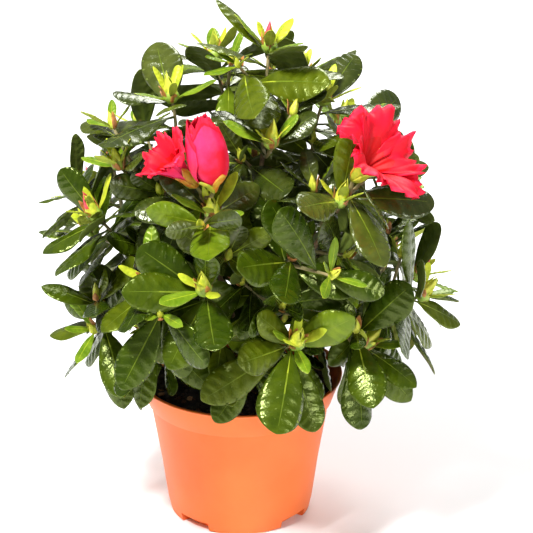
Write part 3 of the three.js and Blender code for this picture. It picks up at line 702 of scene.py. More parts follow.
# A leaf's outline in the rule: shares of its length at which its broad part starts and ends and its
# crest lies, the share of its half width there, and the same at its foot, where it is still narrow.
BROAD_FROM = 0.4
BROAD_TO = 0.76
CREST_ALONG = 0.58
WIDTH_FROM = 0.86
WIDTH_TO = 0.88
NARROW_ALONG = 0.12
NARROW_WIDTH = 0.3
FOOT_SHARE = 0.1
TIP_ROOM_SHARE = 0.02
HALF_WIDTH = 0.5 * LEAF_WIDTH_SHARE

# Places on a leaf, as shares of its length along, across and a lift: its corners, then its blade's
# probes. Its lines are its two edges and its midrib.
CORNER_ALONG = [0, 0, BROAD_FROM, BROAD_TO, 1, BROAD_TO, BROAD_FROM, CREST_ALONG, CREST_ALONG]
CORNER_ACROSS = HALF_WIDTH * np.array([0, 0, -WIDTH_FROM, -WIDTH_TO, 0, WIDTH_TO, WIDTH_FROM, 0, 0])
CORNER_LIFT = [LEAF_ROOT, -LEAF_ROOT, 0, 0, 0, 0, 0, SOLID_LEAF_THICKNESS / 2, -SOLID_LEAF_THICKNESS / 2]
PLACE_ALONG = np.concatenate([CORNER_ALONG, np.repeat([0.2, 0.4, 0.6, 0.8], 3)])
PLACE_ACROSS = np.concatenate([CORNER_ACROSS, 0.25 * LEAF_WIDTH_SHARE * np.tile([-1, 0, 1], 4)])
PLACE_LIFT = np.concatenate([CORNER_LIFT, np.zeros(12)])
LINE_ALONG = np.tile([NARROW_ALONG, BROAD_FROM, BROAD_TO, 1], (3, 1))
LINE_ACROSS = WIDTH_FROM * HALF_WIDTH * np.outer([-1, 0, 1], [NARROW_WIDTH, 1, 1, 0])


def leaf_place(leaf, along, across, lift=0.0):
    """Points of a leaf, or of many at once, from shares of its length along and across it."""
    drop = leaf.bend * along**2 - leaf.fold * np.abs(across)
    return (
        leaf.root
        + leaf.forward * (leaf.length * along)[..., None]
        + leaf.side * (leaf.length * across)[..., None]
        + leaf.upper * (lift - leaf.length * drop)[..., None]
    )


def passes_through(lines, frames, shapes):
    """Where lines pass through blades. Points are taken into a blade's own frame, where it is level."""
    offset = lines - frames[:, 0][:, None, None]
    length, bend, fold = (shapes[:, i][:, None, None] for i in range(3))
    along, across, lift = ((offset * frames[:, i][:, None, None]).sum(axis=-1) / length for i in (1, 2, 3))
    lift = lift + bend * along**2 - fold * np.abs(across)
    before, after = lift[..., :-1], lift[..., 1:]
    share = before / np.where(before == after, 1, before - after)
    reached = along[..., :-1] + (along[..., 1:] - along[..., :-1]) * share
    aside = across[..., :-1] + (across[..., 1:] - across[..., :-1]) * share
    fullness = np.minimum(reached / BROAD_FROM, (1 + TIP_ROOM_SHARE - reached) / (1 - BROAD_TO))
    half = HALF_WIDTH * np.minimum(1, fullness)
    return (before * after <= 0) & (reached > FOOT_SHARE) & (np.abs(aside) < half)


class Foliage:
    """Leaves grown so far, kept as arrays so that a new leaf is tested against all of them at once."""

    def __init__(self):
        self.leaves = []
        self.frames = np.zeros((MOST_LEAVES, 4, 3))
        self.shapes = np.zeros((MOST_LEAVES, 3))
        self.lines = np.zeros((MOST_LEAVES, 3, 4, 3))

    def add(self, leaf):
        n = len(self.leaves)
        self.frames[n] = leaf.root, leaf.forward, leaf.side, leaf.upper
        self.shapes[n] = leaf.length, leaf.bend, leaf.fold
        self.lines[n] = leaf_place(leaf, LINE_ALONG, LINE_ACROSS)
        self.leaves.append(leaf)

    def crossed_by(self, path):
        """Whether a path of points passes through a grown leaf's blade."""
        n = len(self.leaves)
        return bool(passes_through(path[None, None], self.frames[:n], self.shapes[:n]).any())

    def meets(self, leaf):
        """Whether a leaf's edges or midrib pass through a grown leaf's blade, or that one's through it."""
        n = len(self.leaves)
        reach = np.linalg.norm(self.frames[:n, 0] - leaf.root, axis=1)
        near = np.nonzero(reach < self.shapes[:n, 0] + leaf.length)[0]
        if not len(near):
            return False
        own_frame = np.array([leaf.root, leaf.forward, leaf.side, leaf.upper])[None]
        own_shape = np.array([[leaf.length, leaf.bend, leaf.fold]])
        own_lines = leaf_place(leaf, LINE_ALONG, LINE_ACROSS)[None]
        return bool(
            passes_through(own_lines, self.frames[near], self.shapes[near]).any()
            or passes_through(self.lines[near], own_frame, own_shape).any()
        )


def leaf_pose(twig, rank, azimuth, opening, length, facts):
    """The pose of one leaf on a twig: rank runs from 0 at the heart to 1 at the oldest leaf."""
    opened = math.radians(opening)
    outwards = sideways(twig.lean, math.radians(azimuth))
    forward = unit(twig.lean * math.cos(opened) + outwards * math.sin(opened) - (0, 0, LEAF_SAG * rank))
    upper = twig.lean * math.sin(opened) - outwards * math.cos(opened)
    upper = unit(upper - forward * upper.dot(forward))
    back = min(FARTHEST_LEAF_BACK, (FIRST_LEAF_BACK + LEAFED_LENGTH * rank * rank) / twig.reach)
    return Named(
        root=twig.bend.at(1 - back), forward=forward, upper=upper, side=np.cross(forward, upper),
        length=length, bend=YOUNGEST_BEND + MORE_BEND * rank, fold=LEAF_FOLD, **facts,
    )


# Most leaves keep to their mass's own space. Loose ones may reach a little beyond it, clear of all the
# young wood: for each bud its twig's seed and its points, and for each twig None and its points.
LOOSE_TWIG_ROOM = 2.6
LOOSE_LIMB_ROOM = 3.5
young_wood = []


def leaf_has_room(mass, leaf, grown, room):
    places = leaf_place(leaf, PLACE_ALONG, PLACE_ACROSS, PLACE_LIFT)
    is_loose = room < 0
    limb_room = LOOSE_LIMB_ROOM if is_loose else LIMB_ROOM
    if (room_in_space(mass, places) <= room).any() or not is_clear(places, limb_room):
        return False
    if leaf.shapes_crown and not in_crown(places):
        return False
    blade = places[2:][np.linalg.norm(places[2:] - leaf.root, axis=1) > FREE_BLADE_FROM * leaf.length]
    wood, wood_room = mass.twig_points, TWIG_ROOM
    if is_loose:
        wood = np.vstack([points for owner, points in young_wood if owner != leaf.owner])
        wood_room = LOOSE_TWIG_ROOM
    spacing = np.linalg.norm(blade[:, None] - wood[None], axis=2) - wood_room
    return not (spacing < 0).any() and not grown.meets(leaf)


def fitted_leaf(mass, twig, rank, azimuth, opening, length, facts, grown, room):
    """The leaf in a list, or no leaf. It tries small turns and shorter lengths until it has room."""
    for turn, tilt, share in LEAF_TRIES:
        leaf = leaf_pose(twig, rank, azimuth + turn, opening + tilt, length * share, facts)
        if leaf_has_room(mass, leaf, grown, room):
            grown.add(leaf)
            return [leaf]
    return []


def grow_leaves(mass, twig, ranks, draw, grown, room, full_length=LEAF_LENGTH):
    """Leaves of one twig in golden-angle order, beside those grown before."""
    twig.reach = twig.bend.length()
    widest = WIDEST_OPENING + SLANTED_OPENING * math.sin(math.acos(twig.lean[2]))
    is_fine = full_length < LEAF_LENGTH
    leaves = []
    for k in ranks:
        rank = k / (LEAVES_PER_SHOOT - 1)
        azimuth = twig.spin + k * GOLDEN_ANGLE + POSE_PLAY * (next(draw) - 0.5)
        opening = HEART_OPENING + widest * rank**0.8 + POSE_PLAY * (next(draw) - 0.5)
        size = min(1, rank / FULL_SIZE_RANK)
        size = size * size * (3 - 2 * size)
        length = (HEART_LEAF_LENGTH + (full_length - HEART_LEAF_LENGTH) * size) * (0.88 + 0.2 * next(draw))
        facts = {
            "seed": twig.seed * 16 + k, "owner": twig.seed, "narrow": 1.0, "young": None,
            "shapes_crown": is_fine or k >= FIRST_BIG_LEAF,
        }
        leaves += fitted_leaf(mass, twig, rank, azimuth, opening, length, facts, grown, room)
    return leaves


# First grow the leaves that keep to each mass's own space, which are the ones that the solids have.
everything = Foliage()
for mass in masses:
    grown = Foliage()
    mass.leaves = []
    for twig in list(mass.twigs):
        before = len(grown.leaves)
        ranks = range(twig.first_leaf, LEAVES_PER_SHOOT)
        leaves = grow_leaves(mass, twig, ranks, draws(twig.seed), grown, SPACE_ROOM)
        if twig.first_leaf == SIDE_LEAVES_FROM and len(leaves) < FEWEST_SIDE_LEAVES:
            del grown.leaves[before:]
            mass.twigs.remove(twig)
            continue
        mass.leaves += leaves
for mass in masses:
    for leaf in mass.leaves:
        everything.add(leaf)

# Then come the young leaves, which stand in a narrow tuft round each bud.
BUD_SIZES = [1.1, 0.95, 0.8, 0.65, 0.5, 0.35]
BIGGEST_SIDE_BUD = 0.7
HEART_LEAVES = 6
YOUNG_LEAF_LENGTH = 28
YOUNG_RANK = 0.02
YOUNG_ROOM = -11
YOUNG_OPENING = 62
YOUNG_CLOSING = 44
YOUNG_PLAY = 14


def add_wood(twig):
    """Note where a twig and its bud are. The bud is the largest that no leaf's blade cuts through."""
    is_main = twig.first_leaf == FIRST_BIG_LEAF
    sizes = [size for size in BUD_SIZES if is_main or size <= BIGGEST_SIDE_BUD]
    fitting = [size for size in sizes if not everything.crossed_by(heart_line(twig.tip, twig.lean, size))]
    twig.bud_size = (fitting or [sizes[-1]])[0]
    young_wood.append((twig.seed, heart_line(twig.tip, twig.lean, twig.bud_size)))
    young_wood.append((None, twig.bend.at(LIMB_SAMPLES)))


def grow_heart(mass, twig, draw, grown):
    """Young leaves round the bud, the inner ones the smallest and the most yellow."""
    heart = Named(**twig.__dict__)
    heart.lean = heart_lean(twig.lean)
    is_main = twig.first_leaf == FIRST_BIG_LEAF
    leaves = []
    for i in range(HEART_LEAVES if is_main else HEART_LEAVES - 2):
        inwards = i / (HEART_LEAVES - 1)
        azimuth = twig.spin - (i + 1) * GOLDEN_ANGLE
        opening = YOUNG_OPENING - YOUNG_CLOSING * inwards + YOUNG_PLAY * (next(draw) - 0.5)
        length = YOUNG_LEAF_LENGTH * (1 - 0.35 * inwards) * (0.8 + 0.4 * next(draw)) * (1 if is_main else 0.8)
        facts = {
            "seed": twig.seed * 16 - i - 1, "owner": twig.seed, "narrow": 0.66 - 0.1 * inwards,
            "young": "half_grown_leaf" if i < 2 or not is_main else "young_leaf", "shapes_crown": False,
        }
        leaves += fitted_leaf(mass, heart, YOUNG_RANK, azimuth, opening, length, facts, grown, YOUNG_ROOM)
    return leaves


for mass in masses:
    for twig in mass.twigs:
        add_wood(twig)
for mass in masses:
    for twig in mass.twigs:
        mass.leaves += grow_heart(mass, twig, draws(twig.seed + 3), everything)

# Last come finer leafy shoots, which fill what room is left between the masses. The sides and the
# back, where no bloom takes the light, have more. Short ones on the boughs shade the plant's middle.
FINE_TIP_SPACING = 22
FINE_SHOOT_LENGTH = 26
FINE_TIP_ROOM = -6
FINE_LEAF_LENGTH = 46
FEWEST_FINE_LEAVES = 4
LEAF_BEYOND_TIP = 5
FULLER_SHOOTS = [2, -1]
FULLER_FROM = -45
BOUGH_SHOOTS = [1, 2, 3, 4]
INNER_TIP_ROOM = -25
INNER_LEAF_LENGTH = 42


def add_leafy_shoot(mass, parent, k, room, leaf_length):
    """One more leafy shoot, if its tip and enough of its leaves find room among those grown so far."""
    tips = [twig for other in masses for twig in other.twigs]
    shoot = side_twig(mass, parent, k, tips, FINE_TIP_SPACING, room, FINE_SHOOT_LENGTH, everything)
    if not shoot:
        return
    leaves_before, wood_before = len(everything.leaves), len(young_wood)
    add_wood(shoot)
    ranks, leaf_room = range(1, LEAVES_PER_SHOOT), room - LEAF_BEYOND_TIP
    leaves = grow_leaves(mass, shoot, ranks, draws(shoot.seed), everything, leaf_room, leaf_length)
    if len(leaves) < FEWEST_FINE_LEAVES:
        del everything.leaves[leaves_before:]
        del young_wood[wood_before:]
        return
    mass.twigs.append(shoot)
    mass.leaves += leaves


for mass in masses:
    for parent in list(mass.twigs):
        add_leafy_shoot(mass, parent, 1, FINE_TIP_ROOM, FINE_LEAF_LENGTH)
for mass in masses:
    if mass.centre[1] > FULLER_FROM:
        for parent in list(mass.twigs):
            for k in FULLER_SHOOTS:
                add_leafy_shoot(mass, parent, k, FINE_TIP_ROOM, FINE_LEAF_LENGTH)
for mass in masses:
    bough = Named(bend=mass.bough, lean=unit(mass.hub - mass.bough.start), seed=mass.shoots[0].seed + 7)
    for k in BOUGH_SHOOTS:
        add_leafy_shoot(mass, bough, k, INNER_TIP_ROOM, INNER_LEAF_LENGTH)

# The shape of one leaf. Depths and rises are shares of its length, and the outline's powers say how
# slowly it widens from its foot and how blunt its tip is.
LEAF_THICKNESS = 0.55
VEIN_PAIRS = 8
ROWS_PER_VEIN = 3
VEIN_RISE = 0.11
VEIN_DEPTH = 0.031
RIB_DEPTH = 0.013
ROLLED_EDGES = 1.5
HOOKED_TIP = 0.09
RIPPLE = 0.014
LEAF_WEDGE = 1.25
SHARPEST_TIP = 0.54
BLUNTER_TIP = 0.26
STALK_WIDTH = 0.045
LEAF_COLUMNS = np.array([-1, -0.8, -0.42, -0.05, 0, 0.05, 0.42, 0.8, 1])
RIB_EDGE = 0.05
RIB_COLUMNS = slice(3, 5)
BLADE, RIB, UNDERSIDE, RIB_MIDDLE, RIB_FOOT = range(5)

# How far up the leaf each tone of the rib reaches, in the order in which one covers the other.
RIB_ENDS = [(RIB, 0.8), (RIB_MIDDLE, 0.46), (RIB_FOOT, 0.24)]


def shell_faces(rows, columns):
    """Front, back and rim of a sheet two skins thick, each skin a grid of points."""
    skin = rows * columns
    front = grid_faces(rows, columns)
    row, column = np.arange(rows - 1) * columns, np.arange(columns - 1)
    last, tip = row + columns - 1, (rows - 1) * columns + column
    rim = [
        [row, row + columns, row + columns + skin, row + skin],
        [last + columns, last, last + skin, last + columns + skin],
        [column + skin, column + 1 + skin, column + 1, column],
        [tip, tip + 1, tip + 1 + skin, tip + skin],
    ]
    return front, front[:, ::-1] + skin, np.vstack([np.stack(edge, axis=-1) for edge in rim])


def leaf_meshes(leaves):
    """Points and faces of many leaves, and for each leaf the kinds of its faces and a chance."""
    many = Named()
    for fact in ("root", "forward", "side", "upper", "length", "bend", "fold", "narrow"):
        setattr(many, fact, np.array([getattr(leaf, fact) for leaf in leaves])[:, None, None])
    chance = np.array([[next(draw) for _ in range(5)] for draw in (draws(leaf.seed) for leaf in leaves)])
    twist, sway, wave, width, bluntness = (chance[:, i][:, None, None] for i in range(5))
    row = np.linspace(0, 1, VEIN_PAIRS * ROWS_PER_VEIN + 1)[None, :, None]
    t = 1 - (1 - row) ** 1.35
    s = LEAF_COLUMNS[None, None, :]
    s = np.where(np.abs(s) == RIB_EDGE, s * (0.25 + 1.35 * (1 - t) ** 1.5), s)
    t = t + VEIN_RISE * np.abs(s) ** 0.8 * 4 * t * (1 - t)
    blunt = SHARPEST_TIP + BLUNTER_TIP * bluntness
    fullest = LEAF_WEDGE / (LEAF_WEDGE + blunt)
    outline = (t + 1e-6) ** LEAF_WEDGE * (1 - t + 1e-6) ** blunt
    outline = outline / (fullest**LEAF_WEDGE * (1 - fullest) ** blunt)
    opened = np.clip((t - 0.02) / 0.2, 0, 1)
    outline = STALK_WIDTH + (outline - STALK_WIDTH) * opened * opened * (3 - 2 * opened)
    outline = np.maximum(outline, 0.02)
    across = HALF_WIDTH * (0.74 + 0.2 * width) * many.narrow * outline * s
    quilt = np.abs(np.sin(math.pi * VEIN_PAIRS * row)) ** 0.7
    relief = VEIN_DEPTH * (quilt - 0.6) * np.clip(np.abs(s) * 3, 0, 1) * (1 - np.abs(s) ** 4) * outline
    groove = -RIB_DEPTH * np.exp(-((s / 0.13) ** 2)) * (1 - t)
    rolled = -ROLLED_EDGES * across**2 - HOOKED_TIP * np.clip(t - 0.55, 0, 1) ** 2
    rippled = RIPPLE * np.sin(math.tau * (1.6 * t + wave)) * s**2 * outline
    lift = (relief + groove + rolled + rippled + 0.5 * (twist - 0.5) * t * across) * many.length
    middle = leaf_place(many, t, across + 0.05 * (sway - 0.5) * t**2, lift)
    thick = 0.5 * LEAF_THICKNESS * (1 - 0.7 * np.abs(s)) * (1 + 0.9 * np.exp(-((s / 0.12) ** 2)) * (1 - t))
    thick = np.broadcast_to(thick, across.shape)[..., None] * many.upper
    points = np.stack([middle + thick, middle - thick], axis=1)
    rows, columns = row.size, len(LEAF_COLUMNS)
    front, back, rim = shell_faces(rows, columns)
    front_kinds = np.full((rows - 1, columns - 1), BLADE)
    for kind, end in RIB_ENDS:
        front_kinds[:int(rows * end), RIB_COLUMNS] = kind
    # The rim takes the rib's paler green: a painted pale edge line, standing for light through the thin
    # margin.
    kinds = np.concatenate([front_kinds.ravel(), np.full(len(back), UNDERSIDE), np.full(len(rim), RIB)])
    first = np.arange(len(leaves)) * 2 * rows * columns
    faces = np.vstack([front, back, rim])[None] + first[:, None, None]
    return points, faces, np.tile(kinds, (len(leaves), 1)), bluntness.ravel()


GREENS = ["deep_green_leaf", "mid_green_leaf", "olive_leaf", "fresh_green_leaf"]
# The two darkest greens have greyer copies: a painted sheen for the upper crown.
PAINTED_SHEEN_GREENS = {"deep_green_leaf": "sunned_deep_leaf", "mid_green_leaf": "sunned_mid_leaf"}
leaf_finishes = [
    finish("deep_green_leaf", (0.014, 0.03, 0.0008), (0.029, 0.05, 0.0015), 7, (0.16, 0.26), 0.2, 1.3),
    finish("mid_green_leaf", (0.027, 0.048, 0.001), (0.05, 0.077, 0.002), 7, (0.16, 0.28), 0.2, 1.3),
    finish("olive_leaf", (0.05, 0.073, 0.0015), (0.086, 0.112, 0.004), 7, (0.18, 0.3), 0.2, 1.3),
    finish("fresh_green_leaf", (0.075, 0.125, 0.003), (0.125, 0.18, 0.007), 7, (0.18, 0.3), 0.2, 1.3),
    finish("young_leaf", (0.34, 0.42, 0.02), (0.54, 0.58, 0.04), 5, (0.32, 0.45), 0.1, 1.0),
    finish("leaf_rib", (0.06, 0.095, 0.005), (0.1, 0.14, 0.01), 6, (0.26, 0.4), 0.1, 1.0),
    finish("leaf_underside", (0.08, 0.115, 0.018), (0.13, 0.165, 0.03), 6, (0.5, 0.62), 0.3, 1.4),
    finish("young_leaf_underside", (0.3, 0.36, 0.04), (0.44, 0.5, 0.06), 6, (0.5, 0.62), 0.15, 1.2),
    finish("leaf_rib_middle", (0.11, 0.16, 0.008), (0.18, 0.23, 0.016), 6, (0.3, 0.42), 0.1, 1.0),
    finish("leaf_foot", (0.24, 0.31, 0.016), (0.38, 0.44, 0.03), 6, (0.3, 0.42), 0.1, 1.0),
    finish("half_grown_leaf", (0.09, 0.17, 0.006), (0.17, 0.26, 0.013), 6, (0.24, 0.38), 0.16, 1.2),
    # Greyer copies of the deep and mid greens: a painted sheen for the upper crown.
    finish("sunned_deep_leaf", (0.021, 0.033, 0.003), (0.04, 0.053, 0.006), 7, (0.16, 0.26), 0.2, 1.3),
    finish("sunned_mid_leaf", (0.042, 0.056, 0.006), (0.07, 0.088, 0.01), 7, (0.16, 0.28), 0.2, 1.3),
]
leaf_slots = {green.name: i for i, green in enumerate(leaf_finishes)}
VEIN_NET_CELL = 1.5
VEIN_NET_DEPTH = 0.2
for green in leaf_finishes:
    has_painted_sheen = green.name in PAINTED_SHEEN_GREENS.values()
    skin = green.node_tree.nodes["Principled BSDF"]
    # The upper crown's greens gloss whiter and the rest gloss yellow-green: part of the painted sheen.
    skin.inputs["Specular Tint"].default_value = (0.95, 1, 0.75, 1) if has_painted_sheen else (0.85, 1, 0.35, 1)
    if has_painted_sheen or green.name in GREENS:
        net = add_texture(green, "ShaderNodeTexVoronoi", VEIN_NET_CELL)
        net.feature = "DISTANCE_TO_EDGE"
        add_relief(green, net.outputs["Distance"], VEIN_NET_DEPTH)
        skin.inputs["Specular IOR Level"].default_value = 0.6

# The greens are dealt out leaf by leaf by these chances, and some masses are paler or darker than the
# rest. In the masses above a height the two darkest greens are a little greyer and gloss whiter: a
# painted sheen for the brighter light on the upper crown.
GREEN_SHARES = [0.42, 0.72, 0.86]
PALER = {
    "front_low": 0.25, "upper_left": 0.12, "left_flowering": 0.1,
    "front_middle": -0.2, "front_left": -0.2, "left": -0.12, "low_left": -0.15, "right": -0.15,
}
PAINTED_SHEEN_FROM = 195


def leaf_tones(mass, leaf, chance):
    """The finishes of a leaf's blade, rib and underside, and of the rib's middle and foot."""
    if leaf.young:
        return leaf.young, "young_leaf", "young_leaf_underside", "young_leaf", "young_leaf"
    green = GREENS[np.searchsorted(GREEN_SHARES, chance + PALER.get(mass.name, 0))]
    rib = ("leaf_rib", "leaf_rib_middle") if green == GREENS[0] else ("leaf_rib_middle", "leaf_foot")
    # High masses swap their two darkest greens for the greyer copies: a painted sheen.
    if mass.centre[2] > PAINTED_SHEEN_FROM:
        green = PAINTED_SHEEN_GREENS.get(green, green)
    return green, "leaf_rib", "leaf_underside", *rib


for mass in masses:
    points, faces, kinds, chances = leaf_meshes(mass.leaves)
    for i, leaf in enumerate(mass.leaves):
        kinds[i] = np.choose(kinds[i], [leaf_slots[tone] for tone in leaf_tones(mass, leaf, chances[i])])
    leaves = make_piece(f"leaves_{mass.name}", points, faces, kinds.ravel(), leaf_finishes)
    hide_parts(mass.name)


# The twigs
# The shoots' own wood, of this year and the last: slim, green-brown and faintly rough. Each twig grows
# from its parent, and one more runs from the hub to the foot of each bloom.

TWIG_RADIUS = 1.25
TWIG_TIP_RADIUS = 0.8
TWIG_RINGS = 12
TWIG_SIDES = 8
TWIG_FURROWS = 0.12

twig_parts = []
for mass in masses:
    stalks = [twig_bend(mass.hub, bloom.foot, bloom.lean) for bloom in mass.blooms]
    for i, bend in enumerate([twig.bend for twig in mass.twigs] + stalks):
        path = bend.at(np.linspace(0, 1, TWIG_RINGS))
        radii = np.linspace(TWIG_RADIUS, TWIG_TIP_RADIUS, TWIG_RINGS)
        twig_parts.append((*limb_mesh(path, radii, TWIG_SIDES, TWIG_FURROWS, 2.0 + 5 * i), 0))
twig_skin = finish("twig_skin", (0.13, 0.12, 0.04), (0.3, 0.24, 0.1), 4, (0.6, 0.75), 0.2, 0.6)
twigs = make_piece("twigs", *joined(twig_parts), [twig_skin])


# The buds
# A plump bud of overlapping yellow-green scales stands in the heart of each shoot, with small brown
# scales at its foot. A few show the red of the flower inside at their tips.

BUD_RADIUS = 4.4
BUD_SCALES = 8
BROWN_SCALES = 4
HEART_FOOT = 2
SCALE_ROWS = 6
SCALE_COLUMNS = 5
SCALE_BELLY = 0.38
SCALE_THICKNESS = 0.45
SCALE_GAP = 0.7
YELLOW_SCALE, GREEN_SCALE, BROWN_SCALE, RED_SCALE = range(4)
YELLOW_SCALES = 5
RED_SCALES = 2
RED_TIPPED = ["left", "crown_front", "back_left", "low_right_back"]


def shell_points(foot, lean, ways, skins):
    """Points of skins round an axis, each given by distances from it, angles and heights along it."""
    return np.reshape([
        foot
        + lean * height[..., None]
        + ways[0] * (reach * np.cos(angle))[..., None]
        + ways[1] * (reach * np.sin(angle))[..., None]
        for reach, angle, height in skins
    ], (-1, 3))


def scale_mesh(foot, lean, azimuth, shape, inside=None):
    """One scale: a pointed shell two skins thick, hollow towards the bud's axis, which its tip nears."""
    t = np.linspace(0, 1, SCALE_ROWS)[:, None]
    s = np.linspace(-1, 1, SCALE_COLUMNS)[None, :]
    angle = math.radians(azimuth) + math.radians(shape.spread) * s * (1 - 0.97 * t**2.2) ** 0.7
    swelling = shape.foot + (1 - shape.foot) * np.sin(math.pi / 2 * np.minimum(1, t / SCALE_BELLY))
    above_belly = np.clip((t - SCALE_BELLY) / (1 - SCALE_BELLY), 0, 1)
    closing = shape.tip + (1 - shape.tip) * np.cos(math.pi / 2 * above_belly)
    reach = shape.radius * swelling * closing + shape.flare * t**3
    if inside:
        reach = np.maximum(reach, inside(shape.length * t) + SCALE_GAP)
    height = shape.length * t + 0 * s
    skins = [(reach - inset * (1 - 0.5 * t), angle, height) for inset in (0.0, SCALE_THICKNESS)]
    points = shell_points(foot, lean, around_lean(lean), skins)
    return points, np.vstack(shell_faces(SCALE_ROWS, SCALE_COLUMNS))[:, ::-1]


bud_tones = [
    finish("bud_scale_yellow_green", (0.42, 0.5, 0.03), (0.7, 0.68, 0.07), 3, (0.4, 0.5), 0.08, 0.5),
    finish("bud_scale_green", (0.2, 0.32, 0.03), (0.34, 0.46, 0.05), 3, (0.4, 0.5), 0.08, 0.5),
    finish("bud_scale_brown", (0.3, 0.11, 0.03), (0.52, 0.22, 0.05), 2, (0.5, 0.65), 0.12, 0.5),
    finish("bud_tip_red", (0.6, 0.03, 0.06), (0.8, 0.08, 0.12), 3, (0.4, 0.5), 0.05, 0.5),
]


def bud_parts(twig, shows_red):
    """The scales of one bud, the outer ones shorter and wider, and the brown ones at its foot."""
    draw = draws(twig.seed + 9)
    is_main = twig.first_leaf == FIRST_BIG_LEAF
    size = twig.bud_size * (0.85 + 0.15 * next(draw))
    lean = heart_lean(twig.lean)
    foot = twig.tip - lean * HEART_FOOT
    parts = []
    for i in range(BUD_SCALES if is_main else BUD_SCALES - 3):
        rank = i / BUD_SCALES
        shape = Named(
            length=BUD_LENGTH * size * (1 - 0.6 * rank), radius=BUD_RADIUS * size * (0.7 + 0.42 * rank),
            spread=80 - 12 * rank, flare=1.2 * rank * next(draw), foot=0.6, tip=0.05,
        )
        green = YELLOW_SCALE if i < YELLOW_SCALES else GREEN_SCALE
        kind = RED_SCALE if shows_red and i < RED_SCALES else green
        parts.append((*scale_mesh(foot, lean, twig.spin + i * GOLDEN_ANGLE, shape), kind))
    for i in range(BROWN_SCALES if is_main else 1):
        shape = Named(
            length=(6 + 7 * next(draw)) * (0.4 + 0.6 * size), radius=2.6 + 1.6 * size,
            spread=34, flare=3 * next(draw), foot=0.6, tip=0.9,
        )
        parts.append((*scale_mesh(foot, lean, twig.spin + 40 + i * GOLDEN_ANGLE, shape), BROWN_SCALE))
    return parts


all_bud_parts = []
for mass in masses:
    for twig in mass.twigs:
        all_bud_parts += bud_parts(twig, shows_red=twig is mass.shoots[0] and mass.name in RED_TIPPED)
buds = make_piece("buds", *joined(all_bud_parts), bud_tones)


# The blooms
# Three coral-red blooms sit in the crown: broad thin petals with ruffled edges, joined at the foot
# into a funnel. Two are open trumpets and one is a half-open bell with a second ring inside.

TUBE_RADIUS = 3
PETAL_THICKNESS = 0.35
PETAL_ROWS = 26
PETAL_COLUMNS = 41
PETAL_FOOT_ANGLE = 38
PETAL_RISE = 1.125
PETAL, SHADED_THROAT, PETAL_EDGE, PETAL_OUTSIDE_SHEEN = range(4)

# What sets an open bloom's petals apart from a half-open one's. A notch is the share by which a petal
# is shorter at its sides. A ring of petals has a reach, a closeness to the tube, a turn and a count.
OPEN_BLOOM = Named(
    notch=0.34, notch_power=2.1, widening=13, pleats=0.04, ruffle=0.12, flattening=0.29, hanging=1,
    rings=[(0.96, 1.0, 0, 5)],
)
HALF_OPEN_BLOOM = Named(
    notch=0.3, notch_power=1.5, widening=34, pleats=0.015, ruffle=0.05, flattening=0, hanging=0,
    rings=[(0.9, 1.0, 0, 3), (0.84, 0.86, 50, 3)],
)


def tube_radius(bloom, along):
    """The petals' distance from the bloom's axis: a trumpet, or the bell of a half-open bloom."""
    along = np.clip(along, 0, 1)
    opening = along**1.5 if bloom.is_open else np.sin(np.radians(170 * along**0.63))
    return TUBE_RADIUS + (bloom.radius - TUBE_RADIUS) * opening


def petal_mesh(bloom, kind, around, reach, closeness, seed):
    """One petal of a bloom, a ruffled sheet two skins thick that overlaps the next petal's edge."""
    first_way = unit(np.cross((0, 0, 1), bloom.lean))
    t = np.linspace(0, 1, PETAL_ROWS)[:, None]
    s = np.linspace(-1, 1, PETAL_COLUMNS)[None, :]
    widest = PETAL_FOOT_ANGLE + kind.widening * np.clip(t * 1.6, 0, 1)
    along = t * reach * (1 - kind.notch * np.abs(s) ** kind.notch_power)
    angle = np.radians(around + bloom.turn + s * widest)
    phase = seed * 1.7
    edge = np.clip((np.maximum(t, np.abs(s) * np.clip(t * 1.3, 0, 1)) - 0.5) / 0.5, 0, 1) ** 1.5
    waves = np.sin(4.5 * s + 3 * t + phase) + 0.45 * np.sin(10 * s - 4 * t + 2.1 * phase)
    waves = waves + 0.5 * t**5 * np.sin(22 * s + phase) + 0.3 * t**6 * np.sin(35 * s + 3 * phase)
    ruffles = kind.ruffle * bloom.radius * edge * waves
    pleats = kind.pleats * bloom.radius * np.sin(7.5 * s + 0.7 * phase) * np.sin(math.pi * t)
    radius = closeness * tube_radius(bloom, along) + 0.5 * ruffles + 0.5 * s + 0.4 * pleats
    hang = (0.12 + 0.22 * math.sin(phase) ** 2) * bloom.radius * kind.hanging * along**5
    height = bloom.depth * along * (PETAL_RISE - kind.flattening * along**2)
    height = height + ruffles + pleats - hang + 0.3 * (1 - closeness) * bloom.depth * along
    crease = 0.5 * np.exp(-((s / 0.1) ** 2)) * t * (1 - t)
    skins = [
        (np.maximum(radius - inset - crease, 0.6), angle, height + 0.8 * inset * t)
        for inset in (0.0, PETAL_THICKNESS)
    ]
    points = shell_points(bloom.foot, bloom.lean, (first_way, np.cross(bloom.lean, first_way)), skins)
    outer, inner, rim = shell_faces(PETAL_ROWS, PETAL_COLUMNS)
    outer_kinds = np.full((PETAL_ROWS - 1, PETAL_COLUMNS - 1), PETAL)
    outer_kinds[-2:] = PETAL_EDGE
    inner_kinds = outer_kinds.copy()
    # The inner half of the inside, deep in the funnel, is a deeper red: partly the bloom's own deep throat,
    # partly painted shade.
    inner_kinds[:PETAL_ROWS // 2] = SHADED_THROAT
    # The outer face, except its edge, is red mottled with pink patches: a painted sheen.
    outer_kinds[:-3] = PETAL_OUTSIDE_SHEEN
    kinds = np.concatenate([outer_kinds.ravel(), inner_kinds.ravel(), np.full(len(rim), PETAL_EDGE)])
    return points, np.vstack([outer, inner, rim])[:, ::-1], kinds


